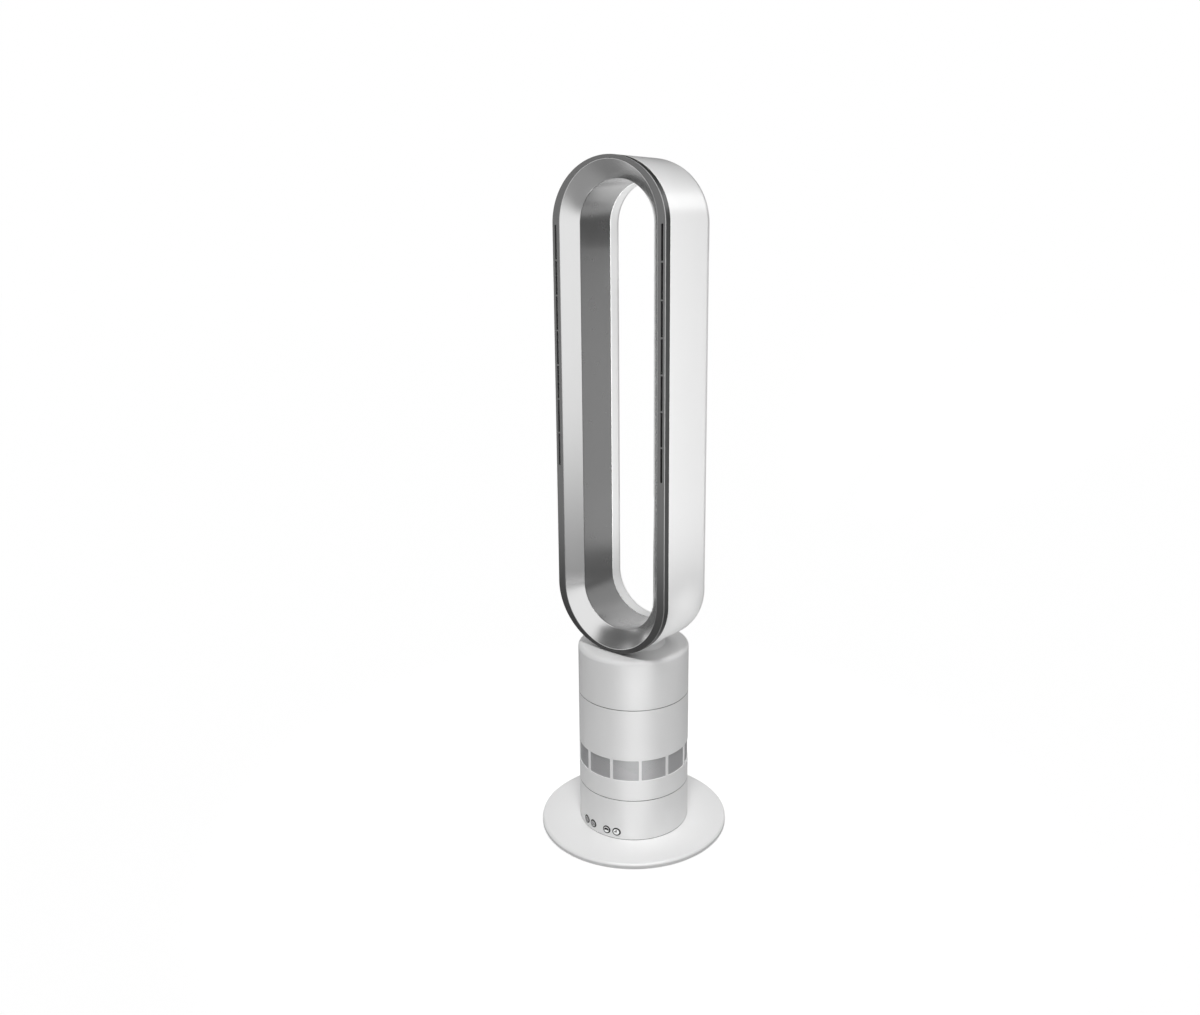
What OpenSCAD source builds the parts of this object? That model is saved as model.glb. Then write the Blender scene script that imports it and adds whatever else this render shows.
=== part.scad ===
// Bladeless tower fan: a racetrack air loop on a turning round body, over a flat round foot.
// Millimetres. +Z is up, the front faces -Y, and the origin is on the floor under the body's axis.

/* [Foot] */
// Diameter of the round foot
foot_diameter = 256; // [230:1:300]
// Height of the foot's top face above the floor
foot_height = 8; // [7.5:0.1:10]
// Wall of the foot's moulded cover
foot_wall = 2.5; // [1.5:0.1:3]
// Rounding of the foot's upper rim
foot_rim_radius = 3; // [1:0.1:4]
// Gap between the cover's rim and the floor
foot_floor_gap = 1.2; // [0.6:0.1:1.8]
// Height that the rubber pads lift the ballast plate off the floor
pad_height = 2.2; // [2:0.1:3]
// Diameter of a rubber pad
pad_diameter = 16; // [10:1:24]
// Number of rubber pads
pad_count = 6; // [3:1:8]
// Height of the dark gasket between foot and body
gasket_height = 0.8; // [0.5:0.1:1.5]

/* [Body] */
// Diameter of the round body
body_diameter = 150; // [146:1:170]
// Wall of the three body housings
body_wall = 2.5; // [2:0.1:3]
// Height of the lower seam, where the body turns
turn_seam_height = 65.8; // [65:0.1:70]
// Height of the upper seam, under the head
head_seam_height = 195.5; // [194:0.1:202]
// Height of the body's flat top
body_height = 263; // [255:1:271]
// Rounding of the body's top edge
top_edge_radius = 6; // [4:0.1:10]
// Width of the open line at each seam
seam_gap = 0.8; // [0.6:0.1:1.2]

/* [Air intake] */
// Number of intake windows round the body
window_count = 12; // [8:1:16]
// Height of the windows' lower edge
window_bottom = 95; // [91:0.5:97]
// Height of a window
window_height = 28.8; // [22:0.1:30]
// Width of the rib between two windows
window_rib = 4; // [3:0.1:8]
// Thickness of the perforated screen behind the windows
screen_thickness = 0.9; // [0.6:0.1:1.1]
// Width across flats of a screen hole
screen_hole = 3.8; // [2:0.1:4]
// Distance between screen holes in a row
screen_spacing = 5.2; // [5:0.1:8]

/* [Buttons] */
// Diameter of a round button
button_diameter = 10.8; // [8:0.1:12]
// Height of the buttons' centres
button_height = 18.5; // [17:0.5:24]
// Distance of the inner pair of buttons from the middle
button_inner_x = 11.7; // [8:0.1:12]
// Distance of the outer pair of buttons from the middle
button_outer_x = 25.8; // [25:0.1:28]
// How far a button stands proud of the body
button_proud = 0.4; // [0.2:0.1:1]
// How far a button is pressed
button_travel = 0.5; // [0.3:0.1:0.8]

/* [Power inlet] */
// Height of the inlet's centre
inlet_height = 30; // [26:0.5:34]
// Width of the inlet's body
inlet_width = 24; // [22:0.5:28]
// Height of the inlet's body
inlet_body_height = 14; // [13:0.5:18]
// Radius of each round end of the socket's recess
socket_radius = 4; // [3.6:0.1:4.4]
// Distance between the two contact pins
pin_spacing = 8.6; // [8:0.1:9]
// Diameter of a contact pin
pin_diameter = 2.4; // [2:0.1:2.6]
// Depth of the socket's recess
socket_depth = 11; // [9:0.5:12]

/* [Turning drive] */
// Distance from the body's inside to the turning motor's shaft
drive_inset = 22.5; // [22:0.1:23.5]
// Teeth of the gear under the turntable
gear_teeth = 64; // [60:4:64]
// Teeth of the motor pinion
pinion_teeth = 16; // [16:1:17]
// Radius of the pivot post, as a share of the body's inside radius
pivot_share = 0.262; // [0.23:0.002:0.276]
// Wall of the pivot post round its cable hole
pivot_wall = 6; // [5:0.5:8]
// Radius of the turning motor's can
turn_motor_radius = 17.5; // [15:0.5:18]
// Height of the turning motor's can
turn_motor_height = 19; // [15:0.5:22]

/* [Air mover] */
// Radius of the duct round the motor, as a share of the body's inside radius
duct_share = 0.786; // [0.76:0.002:0.8]
// Radius of the shroud's throat, where the air goes in, as a share of the duct's radius
throat_share = 0.807; // [0.75:0.001:0.83]
// Radius of the motor bucket, as a share of the duct's radius
bucket_share = 0.737; // [0.71:0.001:0.76]
// Number of impeller blades
blade_count = 9; // [5:1:11]
// Number of diffuser vanes
vane_count = 11; // [7:1:13]
// Radius of the motor shaft
shaft_radius = 2.5; // [2:0.1:3]
// Radius of the stator, as a share of the motor bucket's radius
stator_share = 0.643; // [0.6:0.001:0.7]
// Radius of the rotor magnet, as a share of the motor bucket's radius
rotor_share = 0.345; // [0.3:0.001:0.36]

/* [Loop] */
// Half of the loop's outer width
loop_half_width = 89; // [86:0.5:96]
// Height of the loop's rounded end, from the end of the straight to the crown
loop_end_height = 80.3; // [78:0.1:86]
// Half of the opening's width
opening_half_width = 57.8; // [54:0.1:60]
// Height of the opening's rounded end
opening_end_height = 53.1; // [49:0.1:56]
// Length of the loop's straight sides
loop_straight = 470; // [300:5:600]
// Depth of the loop from its front face to the body's axis
loop_front = 50.4; // [48:0.1:54]
// Depth of the loop from the body's axis to its rearmost line
loop_rear = 51; // [48:0.5:56]
// Rounding of the rear edge outside, as a share of the loop's width from outside to opening
rear_outer_share = 0.575; // [0.45:0.005:0.6]
// Rounding of the rear edge inside the opening, as a share of the same width
rear_inner_share = 0.385; // [0.25:0.005:0.39]
// Wall of the loop's shells
loop_wall = 2; // [1.6:0.1:2.4]
// Depth of the dark wall inside the opening, measured behind the axis
dark_wall_rear = 26.6; // [20:0.1:32]

/* [Front trim and flare] */
// Width of the trim's face at the sides
trim_side_width = 11.8; // [10.5:0.1:14]
// Width of the trim's face at the crown and at the foot of the loop
trim_end_width = 4.6; // [4.2:0.1:6]
// Depth of the trim's side, from the front face
trim_depth = 9.2; // [8:0.1:14]
// Depth of the flare, from the front face to its lip
flare_depth = 18.3; // [15:0.1:24]
// How far the flare bulges into the air stream
flare_bulge = 1.2; // [0:0.1:2]
// Width of an air slot
slot_width = 3; // [2:0.1:4]
// Distance of an air slot's middle from the loop's outside
slot_inset = 5.4; // [5:0.1:6]
// Number of air slots on each side
slot_count = 7; // [3:1:7]
// Length that the row of slots takes
slot_row = 310; // [200:5:340]
// Width of the bridge between two slots
slot_bridge = 2.2; // [1.5:0.1:4]

/* [Hidden] */

// Overrun of every cut past the face that it opens
over = 1;
// Rounds are drawn with this many sides
$fn = 96;
// Clearance between pieces of different bodies
move_gap = 0.3;
// Clearance of a shaft or post that turns in its hole
running_gap = 0.05;
// Clearance between pieces that are fitted together and don't move
fit_gap = 0.2;

// Foot
foot_radius = foot_diameter / 2;
ballast_radius = foot_radius - foot_wall - fit_gap;
pad_circle = ballast_radius - pad_diameter;
screw_radius = 2;
screw_hole = screw_radius + fit_gap / 2;
screw_head_radius = 2 * screw_radius;
screw_head_height = 0.8 * screw_radius;
screw_length = 16;
post_radius = 2.5 * screw_radius;
post_circle = 48;
post_count = 4;
post_angle = 45;

// Lower body
body_radius = body_diameter / 2;
body_inside = body_radius - body_wall;
gasket_inset = 0.7;
gasket_width = 12;
control_bottom = foot_height + gasket_height;
control_floor = control_bottom + body_wall;
control_top = turn_seam_height - seam_gap / 2;
deck_thickness = 3;
deck_drop = 6.4;
deck_top = control_top - deck_drop;
deck_bottom = deck_top - deck_thickness;

// Turntable and drive
pivot_radius = pivot_share * body_inside;
cable_hole_radius = pivot_radius - pivot_wall;
drive_offset = body_inside - drive_inset;
gear_module = 2 * drive_offset / (gear_teeth + pinion_teeth);
root_share = 1.25;
flank_steps = 3;
backlash = 0.25;
pressure_angle = 20;
turntable_bottom = turn_seam_height + seam_gap;
turntable_thickness = 3;
turntable_top = turntable_bottom + turntable_thickness;
hub_wall = 5;
hub_radius = pivot_radius + hub_wall;
hub_top = turntable_top + 2 * turntable_thickness;
gear_height = 5;
gear_bottom = turntable_bottom - gear_height;
glide_width = 6;
glide_inner = body_inside - glide_width - hub_wall / 2;
glide_rib = 2.6;
drive_shaft_radius = shaft_radius;
motor_boss_radius = 4.8;
motor_boss_height = 2.5;

// Middle body
middle_bottom = turn_seam_height + seam_gap / 2;
middle_top = head_seam_height - seam_gap / 2;
flange_thickness = 2.5;
flange_width = 12;
screen_clearance = 0.3;
groove_depth = screen_thickness + screen_clearance;
groove_margin = 2.5;
groove_land = 1;
ledge_width = 3.5;
ledge_thickness = 2;
window_step = 360 / window_count;
window_angle = window_step - 2 * asin(window_rib / 2 / body_radius);
window_top = window_bottom + window_height;

// Air mover, by height
duct_radius = duct_share * body_inside;
throat_radius = throat_share * duct_radius;
bucket_radius = bucket_share * duct_radius;
throat_length = 4;
cone_length = 23;
duct_length = 4;
seal_drop = 2.2;
shroud_bottom = window_top + groove_margin + groove_land + ledge_thickness;
shroud_wall = 2;
throat_top = shroud_bottom + throat_length;
cone_top = throat_top + cone_length;
step_height = cone_top + duct_length;
shroud_top = head_seam_height - seal_drop;
blade_gap = 1;
blade_thickness = 1.6;
blade_sweep_angle = -55;
blade_steps = 6;
nose_radius = 12;
bucket_lap = 1;
bucket_height = 27;
bucket_flange = 2;
bucket_bottom = step_height - bucket_lap;
bucket_wall = 2.5;
bucket_top = bucket_bottom + bucket_height;
vane_thickness = 1.8;
vane_sweep_angle = 16;
vane_ring = 1.5;
bearing_radius = 8;
bearing_height = 5;
bearing_wall = 3;
bearing_lift = 1;
stator_radius = stator_share * bucket_radius;
rotor_radius = rotor_share * bucket_radius;
magnet_gap = 0.5;
stator_lift = 7;
stator_bottom = bucket_bottom + stator_lift;
stator_height = 14;
stator_inside = rotor_radius + magnet_gap;
stator_teeth = 9;
rotor_margin = 1;
mount_height = 3;
cap_thickness = 2.5;

// Head
head_bottom = head_seam_height + seam_gap / 2;
head_wall = body_wall;
head_spigot_drop = 7;
spigot_width = 2.5;
duct_hole_half_width = 36;
duct_hole_half_depth = 28;
saddle_half_width = 41.5;
saddle_half_depth = 38.7;
saddle_centre = (loop_rear - loop_front) / 2;

// Loop, by height
loop_foot_gap = 0.6;
loop_bottom = body_height + loop_foot_gap;
low_arc_height = loop_bottom + loop_end_height;
high_arc_height = low_arc_height + loop_straight;
arc_steps = 28;
bend_steps = 5;
trim_wall = 2;
trim_return = 1.2;
flare_wall = 1.8;
lap = 2.5;
wall_step = 0.4;
rear_outer_radius = rear_outer_share * (loop_half_width - opening_half_width);
rear_inner_radius = rear_inner_share * (loop_half_width - opening_half_width);
flare_half_width = loop_half_width - trim_side_width;
flare_end_height = loop_end_height - trim_end_width;
slot_centre = loop_half_width - slot_inset;
trim_rear = trim_depth - loop_front;
lip_depth = flare_depth - loop_front;
slot_row_top = high_arc_height;
slot_step = slot_row / slot_count;
nozzle_wall = 1.2;
nozzle_depth = 4.5;

// Colours
white = [0.93, 0.93, 0.93];
pale_grey = [0.62, 0.62, 0.63];
dark_grey = [0.36, 0.36, 0.37];
silver = [0.82, 0.82, 0.83];
black = [0.08, 0.08, 0.08];
steel = [0.6, 0.61, 0.63];
copper = [0.72, 0.42, 0.2];
board_green = [0.1, 0.35, 0.2];

// General shapes

// A tube from one height to another
module tube(inner, outer, low, high) {
  translate([0, 0, low])
    linear_extrude(height = high - low)
      difference() {
        circle(r = outer);
        circle(r = inner);
      }
}

// A round rod from one height to another
module rod(radius, low, high) {
  translate([0, 0, low])
    cylinder(r = radius, h = high - low);
}

// Copies at even steps round the axis
module round_the_axis(count, start = 0) {
  for (i = [0 : count - 1])
    rotate([0, 0, start + 360 * i / count])
      children();
}

// A screw with its head's seat at height z: up is 1 where the shank points up
module screw(z, up, length) {
  low = up > 0 ? z : z - length;
  head_low = up > 0 ? z - screw_head_height : z;
  rod(screw_radius, low, low + length);
  rod(screw_head_radius, head_low, head_low + screw_head_height);
}

// A flat shape with round ends along X
module round_ended(half_width, half_depth) {
  side = half_width - half_depth;
  square([2 * side, 2 * half_depth], center = true);
  for (x = [-side, side])
    translate([x, 0])
      circle(r = half_depth);
}

// Loop shapes

// The step in half-width that clears a wall of this thickness at the loop's ends too
end_slope = (loop_end_height - opening_end_height) / (loop_half_width - opening_half_width);
function clear_of(wall) = wall / min(1, end_slope) + fit_gap;

// The end height that goes with half-width a, on the line through two [half-width, end height] pairs
function end_height(a, pair, other) =
  pair[1] + (a - pair[0]) * (other[1] - pair[1]) / (other[0] - pair[0]);

// One racetrack line: two half ellipses joined by straights, at depth y
function racetrack(a, b, y) = concat(
  [for (i = [0 : arc_steps]) let (t = 180 * i / arc_steps) [a * cos(t), y, high_arc_height + b * sin(t)]],
  [for (i = [0 : arc_steps]) let (t = 180 * i / arc_steps) [-a * cos(t), y, low_arc_height - b * sin(t)]]
);

// A section carried round the racetrack: section is a closed list of [half-width, end height, depth]
module racetrack_ring(section) {
  rings = len(section);
  stations = 2 * (arc_steps + 1);
  points = [for (s = section) each racetrack(s[0], s[1], s[2])];
  faces = [
    for (k = [0 : rings - 1])
      for (i = [0 : stations - 1])
        let (
          near = k * stations,
          far = ((k + 1) % rings) * stations,
          next = (i + 1) % stations
        )
        each [[near + i, far + i, far + next], [near + i, far + next, near + next]]
  ];
  polyhedron(points = points, faces = faces, convexity = 6);
}

// A quarter bend in [half-width, depth], of radius r round a centre
function bend(centre, r, from, to) = [
  for (i = [0 : bend_steps])
    let (t = from + (to - from) * i / bend_steps)
    [centre[0] + r * cos(t), centre[1] + r * sin(t)]
];

// Adds end heights to a list of [half-width, depth]
function with_ends(line, pair, other) =
  [for (p = line) [p[0], end_height(p[0], pair, other), p[1]]];

outer_pair = [loop_half_width, loop_end_height];
inner_pair = [opening_half_width, opening_end_height];
flare_pair = [flare_half_width, flare_end_height];

// A racetrack outline as a flat shape in X and Z, from a [half-width, end height] pair and a margin
module outline(pair, margin) {
  polygon([for (p = racetrack(pair[0] + margin, pair[1] + margin, 0)) [p[0], p[2]]]);
}

// A flat shape in X and Z, carried from one depth to another
module along_y(front, rear) {
  translate([0, rear, 0])
    rotate([90, 0, 0])
      linear_extrude(height = rear - front)
        children();
}

// The flat band between two racetrack outlines
module band(outer, outer_margin, inner, inner_margin) {
  difference() {
    outline(outer, outer_margin);
    outline(inner, inner_margin);
  }
}

// Foot

module foot_cover() {
  rim = foot_radius - foot_rim_radius;
  color(white)
    difference() {
      rotate_extrude()
        union() {
          translate([0, foot_floor_gap])
            square([rim, foot_height - foot_floor_gap]);
          translate([0, foot_floor_gap])
            square([foot_radius, foot_height - foot_rim_radius - foot_floor_gap]);
          translate([rim, foot_height - foot_rim_radius])
            circle(r = foot_rim_radius);
        }
      rod(foot_radius - foot_wall, -over, foot_height - foot_wall);
      round_the_axis(post_count, post_angle)
        translate([post_circle, 0, 0])
          rod(screw_hole, 0, foot_height + over);
    }
}

module ballast_plate() {
  color(steel)
    difference() {
      rod(ballast_radius, pad_height, foot_height - foot_wall);
      round_the_axis(post_count, post_angle)
        translate([post_circle, 0, 0])
          rod(screw_hole, 0, foot_height);
    }
}

module rubber_pads() {
  color(black)
    round_the_axis(pad_count)
      translate([pad_circle, 0, 0])
        rod(pad_diameter / 2, 0, pad_height);
}

module foot_screws() {
  color(steel)
    round_the_axis(post_count, post_angle)
      translate([post_circle, 0, 0])
        screw(pad_height, 1, screw_length);
}

module foot_gasket() {
  outer = body_radius - gasket_inset;
  color(black)
    tube(outer - gasket_width, outer, foot_height, control_bottom);
}

// Lower body

// The row of buttons, from left to right as seen from the front
button_places = [-button_outer_x, -button_inner_x, button_inner_x, button_outer_x];
button_radius = button_diameter / 2;
button_lip = 1.2;
button_flange = button_radius + button_lip;
button_flange_thickness = 1.2;
button_stem = 2;
board_thickness = 1.6;
switch_size = 6;
switch_height = 3.5;
plunger_radius = 1.7;
plunger_height = 1.2;
board_setback = 15.5;
board_face = board_setback - body_inside;
plunger_tip = board_face - switch_height - plunger_height;

// Depth of the inner wall beside a button's flange
function flange_seat(x) = -sqrt(pow(body_inside, 2) - pow(abs(x) + button_flange, 2));

// A round rod along Y at a button's place
module button_rod(x, radius, front, rear) {
  translate([x, front, button_height])
    rotate([-90, 0, 0])
      cylinder(r = radius, h = rear - front);
}

module control_housing() {
  color(white)
    difference() {
      union() {
        tube(body_inside, body_radius, control_bottom, control_top);
        rod(body_radius - body_wall / 2, control_bottom, control_floor);
        round_the_axis(post_count, post_angle)
          translate([post_circle, 0, 0])
            rod(post_radius, control_floor - over, deck_bottom);
      }
      round_the_axis(post_count, post_angle)
        translate([post_circle, 0, 0]) {
          rod(screw_hole, control_bottom - over, pad_height + screw_length + over);
          rod(screw_hole, deck_top - screw_length - over, deck_bottom + over);
        }
      for (x = button_places)
        button_rod(x, button_radius + move_gap, -body_radius - over, flange_seat(x));
      translate([0, body_inside, inlet_height])
        cube([inlet_width + fit_gap, 4 * body_wall, inlet_body_height + fit_gap], center = true);
    }
}

module pivot_plate() {
  color(pale_grey)
    difference() {
      union() {
        rod(body_inside - fit_gap, deck_bottom, deck_top);
        rod(pivot_radius, deck_bottom, hub_top + move_gap);
      }
      rod(cable_hole_radius, deck_bottom - over, hub_top + 2 * over);
      round_the_axis(post_count, post_angle)
        translate([post_circle, 0, 0])
          rod(screw_hole, deck_bottom - over, deck_top + over);
      translate([drive_offset, 0, 0])
        rod(motor_boss_radius + fit_gap, deck_bottom - over, deck_top + over);
    }
}

module pivot_screws() {
  color(steel)
    round_the_axis(post_count, post_angle)
      translate([post_circle, 0, 0])
        screw(deck_top, -1, screw_length);
}

module glide_ring() {
  color(white)
    tube(glide_inner, glide_inner + glide_width, deck_top, turntable_bottom - glide_rib - move_gap);
}

module pivot_retainer() {
  low = hub_top + move_gap;
  color(pale_grey)
    tube(cable_hole_radius, hub_radius, low, low + turntable_thickness);
}

module button_board() {
  width = 2 * (button_outer_x + 2 * switch_size);
  high = button_height + 2 * switch_size;
  color(board_green) {
    translate([-width / 2, board_face, control_floor])
      cube([width, board_thickness, high - control_floor]);
    for (x = button_places) {
      translate([x - switch_size / 2, board_face - switch_height, button_height - switch_size / 2])
        cube([switch_size, switch_height, switch_size]);
      button_rod(x, plunger_radius, plunger_tip, board_face - switch_height / 2);
    }
  }
}

// A round cap that follows the body's curve, with a flange behind the wall and a stem to the switch
module button(x) {
  flange_front = flange_seat(x) + move_gap;
  stem_rear = plunger_tip - button_travel - move_gap;
  intersection() {
    rod(body_radius + button_proud, 0, turn_seam_height);
    button_rod(x, button_radius, -body_radius - over, flange_front + button_flange_thickness);
  }
  button_rod(x, button_flange, flange_front, flange_front + button_flange_thickness);
  button_rod(x, button_stem, flange_front, stem_rear);
}

module button_power() {
  color(dark_grey)
    button(button_places[0]);
}

module button_speed() {
  color(dark_grey)
    button(button_places[1]);
}

module button_swing() {
  color(dark_grey)
    button(button_places[2]);
}

module button_timer() {
  color(dark_grey)
    button(button_places[3]);
}

module power_inlet() {
  rear = body_radius;
  depth = socket_depth + 3 * body_wall;
  flange = 2 * body_wall;
  pin_root = 1;
  flange_rear = sqrt(pow(body_inside, 2) - pow((inlet_width + flange) / 2, 2));
  color(black) {
    difference() {
      intersection() {
        translate([-inlet_width / 2, rear - depth, inlet_height - inlet_body_height / 2])
          cube([inlet_width, depth, inlet_body_height]);
        rod(body_radius, 0, turn_seam_height);
      }
      translate([0, rear + over, inlet_height])
        rotate([90, 0, 0])
          linear_extrude(height = socket_depth + over)
            round_ended(pin_spacing / 2 + socket_radius, socket_radius);
    }
    translate([0, flange_rear - body_wall, inlet_height])
      difference() {
        cube([inlet_width + flange, 2 * body_wall, inlet_body_height + flange], center = true);
        cube([inlet_width - flange, 2 * body_wall + over, inlet_body_height - body_wall / 2], center = true);
      }
  }
  color(steel)
    for (x = [-pin_spacing / 2, pin_spacing / 2])
      translate([x, rear - socket_depth - pin_root, inlet_height])
        rotate([-90, 0, 0])
          cylinder(r = pin_diameter / 2, h = socket_depth - body_wall);
}

module power_board() {
  width = 36;
  depth = 56;
  inset = 14.5;
  place = inset - body_inside;
  standoff = 4;
  low = control_floor + standoff;
  color(board_green)
    translate([place, -depth / 2, low])
      cube([width, depth, board_thickness]);
  color(pale_grey)
    for (x = [standoff, width - standoff], y = [-depth / 2 + standoff, depth / 2 - standoff])
      translate([place + x, y, 0])
        rod(standoff / 2, control_floor, low);
  color(black) {
    translate([place + width / 6, -depth / 6, low + board_thickness])
      cube([width / 2, depth / 3, width / 2]);
    translate([place + width / 2, depth / 3, 0])
      rod(standoff + board_thickness, low + board_thickness, low + width / 2);
  }
}

module turning_motor() {
  bore = drive_shaft_radius + running_gap;
  ear = 3 * board_thickness;
  color(steel)
    difference() {
      translate([drive_offset, 0, 0]) {
        rod(turn_motor_radius, deck_bottom - turn_motor_height, deck_bottom);
        rod(motor_boss_radius, deck_bottom - over, deck_bottom + motor_boss_height);
        translate([0, 0, deck_bottom - board_thickness])
          rotate([0, 0, 90])
            linear_extrude(height = board_thickness)
              round_ended(turn_motor_radius + ear + screw_radius, ear);
      }
      translate([drive_offset, 0, 0])
        rod(bore, deck_bottom - turn_motor_height / 2, deck_top + over);
      for (y = [-turn_motor_radius - ear / 2, turn_motor_radius + ear / 2])
        translate([drive_offset, y, 0])
          rod(screw_hole, deck_bottom - turn_motor_height, deck_top);
    }
}

// Gears

// Half of a tooth's angle at radius r, for a gear of pitch radius p with count teeth
function involute(angle) = tan(angle) * 180 / PI - angle;
function half_tooth(r, p, count) =
  90 / count - backlash / 2 / p * 180 / PI + involute(pressure_angle)
  - involute(acos(min(1, p * cos(pressure_angle) / r)));

// The outline of an involute gear
function gear_outline(count) =
  let (
    p = gear_module * count / 2,
    base = p * cos(pressure_angle),
    root = p - root_share * gear_module,
    tip = p + gear_module,
    start = max(base, root),
    flank = [root, for (i = [0 : flank_steps]) start + (tip - start) * i / flank_steps]
  )
  [
    for (k = [0 : count - 1])
      let (middle = 360 * k / count)
      each concat(
        [for (r = flank) let (t = middle - half_tooth(max(r, start), p, count)) [r * cos(t), r * sin(t)]],
        [for (i = [len(flank) - 1 : -1 : 0]) let (
            r = flank[i],
            t = middle + half_tooth(max(r, start), p, count)
          ) [r * cos(t), r * sin(t)]]
      )
  ];

module pinion_shaft() {
  end_gap = 1;
  low = deck_bottom - turn_motor_height / 2 + end_gap;
  color(steel)
    translate([drive_offset, 0, 0])
      rod(drive_shaft_radius, low, turntable_bottom - 2 * move_gap);
}

module drive_pinion() {
  color(white)
    translate([drive_offset, 0, gear_bottom + move_gap])
      rotate([0, 0, 180 / pinion_teeth])
        linear_extrude(height = gear_height - 2 * move_gap)
          difference() {
            polygon(gear_outline(pinion_teeth));
            circle(r = drive_shaft_radius + running_gap / 2);
          }
}

module turntable_gear() {
  color(pale_grey)
    translate([0, 0, gear_bottom])
      linear_extrude(height = gear_height)
        difference() {
          polygon(gear_outline(gear_teeth));
          circle(r = hub_radius + fit_gap);
        }
}

// Turning body

glide_middle = glide_inner + glide_width / 2;
middle_screw_count = 4;

module turntable() {
  bore = pivot_radius + running_gap;
  color(pale_grey)
    difference() {
      union() {
        tube(bore, body_inside - fit_gap, turntable_bottom, turntable_top);
        tube(bore, hub_radius, turntable_bottom - glide_rib, hub_top);
        tube(glide_inner, glide_inner + glide_width, turntable_bottom - glide_rib, turntable_top);
      }
      round_the_axis(middle_screw_count)
        translate([glide_middle, 0, 0])
          rod(screw_hole, turntable_bottom - glide_rib / 2, turntable_top + over);
    }
}

module turntable_screws() {
  seat = turntable_top + flange_thickness;
  color(steel)
    round_the_axis(middle_screw_count)
      translate([glide_middle, 0, 0])
        screw(seat, -1, seat - turntable_bottom);
}

module middle_housing() {
  groove_low = window_bottom - groove_margin;
  groove_high = window_top + groove_margin;
  head_ledge = head_bottom - head_spigot_drop;
  root = body_inside + body_wall / 2;
  color(white)
    difference() {
      union() {
        tube(body_inside, body_radius, middle_bottom, middle_top);
        tube(body_inside - flange_width, root, turntable_top, turntable_top + flange_thickness);
        tube(body_inside - ledge_width, root, shroud_bottom - ledge_thickness, shroud_bottom);
        tube(body_inside - ledge_width, root, head_ledge - ledge_thickness, head_ledge);
      }
      tube(body_inside - over, body_inside + groove_depth, groove_low, groove_high);
      for (i = [0 : window_count - 1])
        rotate([0, 0, -90 - window_angle / 2 + i * window_step])
          rotate_extrude(angle = window_angle)
            translate([body_inside, window_bottom])
              square([2 * body_wall, window_height]);
      round_the_axis(middle_screw_count)
        translate([glide_middle, 0, 0])
          rod(screw_hole, turntable_top - over, turntable_top + flange_thickness + over);
    }
}

module intake_screen() {
  margin = groove_margin - fit_gap;
  inner = body_inside + groove_depth - fit_gap / 2 - screen_thickness;
  row_step = screen_spacing * sqrt(3) / 2;
  rows = floor((window_height - screen_hole) / row_step);
  row_start = window_bottom + (window_height - (rows - 1) * row_step) / 2;
  step_angle = screen_spacing / body_radius * 180 / PI;
  columns = floor((window_angle - step_angle / 2) / step_angle);
  color(pale_grey)
    round_the_axis(window_count, -90)
      difference() {
        rotate([0, 0, -window_step / 2])
          rotate_extrude(angle = window_step)
            translate([inner, window_bottom - margin])
              square([screen_thickness, window_height + 2 * margin]);
        for (row = [0 : rows - 1], column = [0 : columns - 1 - row % 2])
          rotate([0, 0, (column - (columns - 1) / 2 + (row % 2) / 2) * step_angle])
            translate([inner - over, 0, row_start + row * row_step])
              rotate([0, 90, 0])
                cylinder(r = screen_hole / sqrt(3), h = screen_thickness + 2 * over, $fn = 6);
      }
}

module driver_board() {
  half_width = 36;
  half_depth = 27;
  post = 3;
  low = hub_top + 3 * turntable_thickness;
  color(board_green)
    translate([-half_width, -half_depth, low])
      cube([2 * half_width, 2 * half_depth, board_thickness]);
  color(pale_grey)
    for (x = [post - half_width, half_width - post], y = [post - half_depth, half_depth - post])
      translate([x, y, 0])
        rod(post, turntable_top, low);
  color(black)
    for (x = [-half_width / 2, 0, half_width / 2])
      translate([x, 0, 0])
        rod(2 * post, low + board_thickness, low + board_thickness + 2 * post);
}

// Air mover

// The shroud's inner line, as [radius, height], moved outwards by a margin
function shroud_line(margin) = [
  [throat_radius + margin, shroud_bottom],
  [throat_radius + margin, throat_top],
  [duct_radius + margin, cone_top],
  [duct_radius + margin, step_height]
];

module fan_shroud() {
  step = vane_ring / 2;
  inner = shroud_line(0);
  outer = shroud_line(shroud_wall + step);
  flange_edge = body_inside - fit_gap;
  outer_wall = duct_radius + step + shroud_wall;
  color(pale_grey)
    rotate_extrude()
      polygon([
        inner[0],
        inner[1],
        inner[2],
        inner[3],
        [duct_radius + step, step_height],
        [duct_radius + step, shroud_top],
        [outer_wall, shroud_top],
        outer[2],
        outer[1],
        [throat_radius + shroud_wall + step, shroud_bottom + flange_thickness],
        [flange_edge, shroud_bottom + flange_thickness],
        [flange_edge, shroud_bottom]
      ]);
}

// One curved blade or vane in plan, from one radius to another, swept back by an angle
function blade_angle(u, sweep) = sweep * u * u;
function blade_side(from, to, sweep, side, thickness) = [
  for (i = [0 : blade_steps])
    let (
      u = i / blade_steps,
      r = from + (to - from) * u,
      t = blade_angle(u, sweep) + side * thickness / 2 / r * 180 / PI
    )
    [r * cos(t), r * sin(t)]
];
module blade_plan(from, to, sweep, thickness) {
  back = blade_side(from, to, sweep, 1, thickness);
  polygon(concat(
    blade_side(from, to, sweep, -1, thickness),
    [for (i = [len(back) - 1 : -1 : 0]) back[i]]
  ));
}

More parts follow.
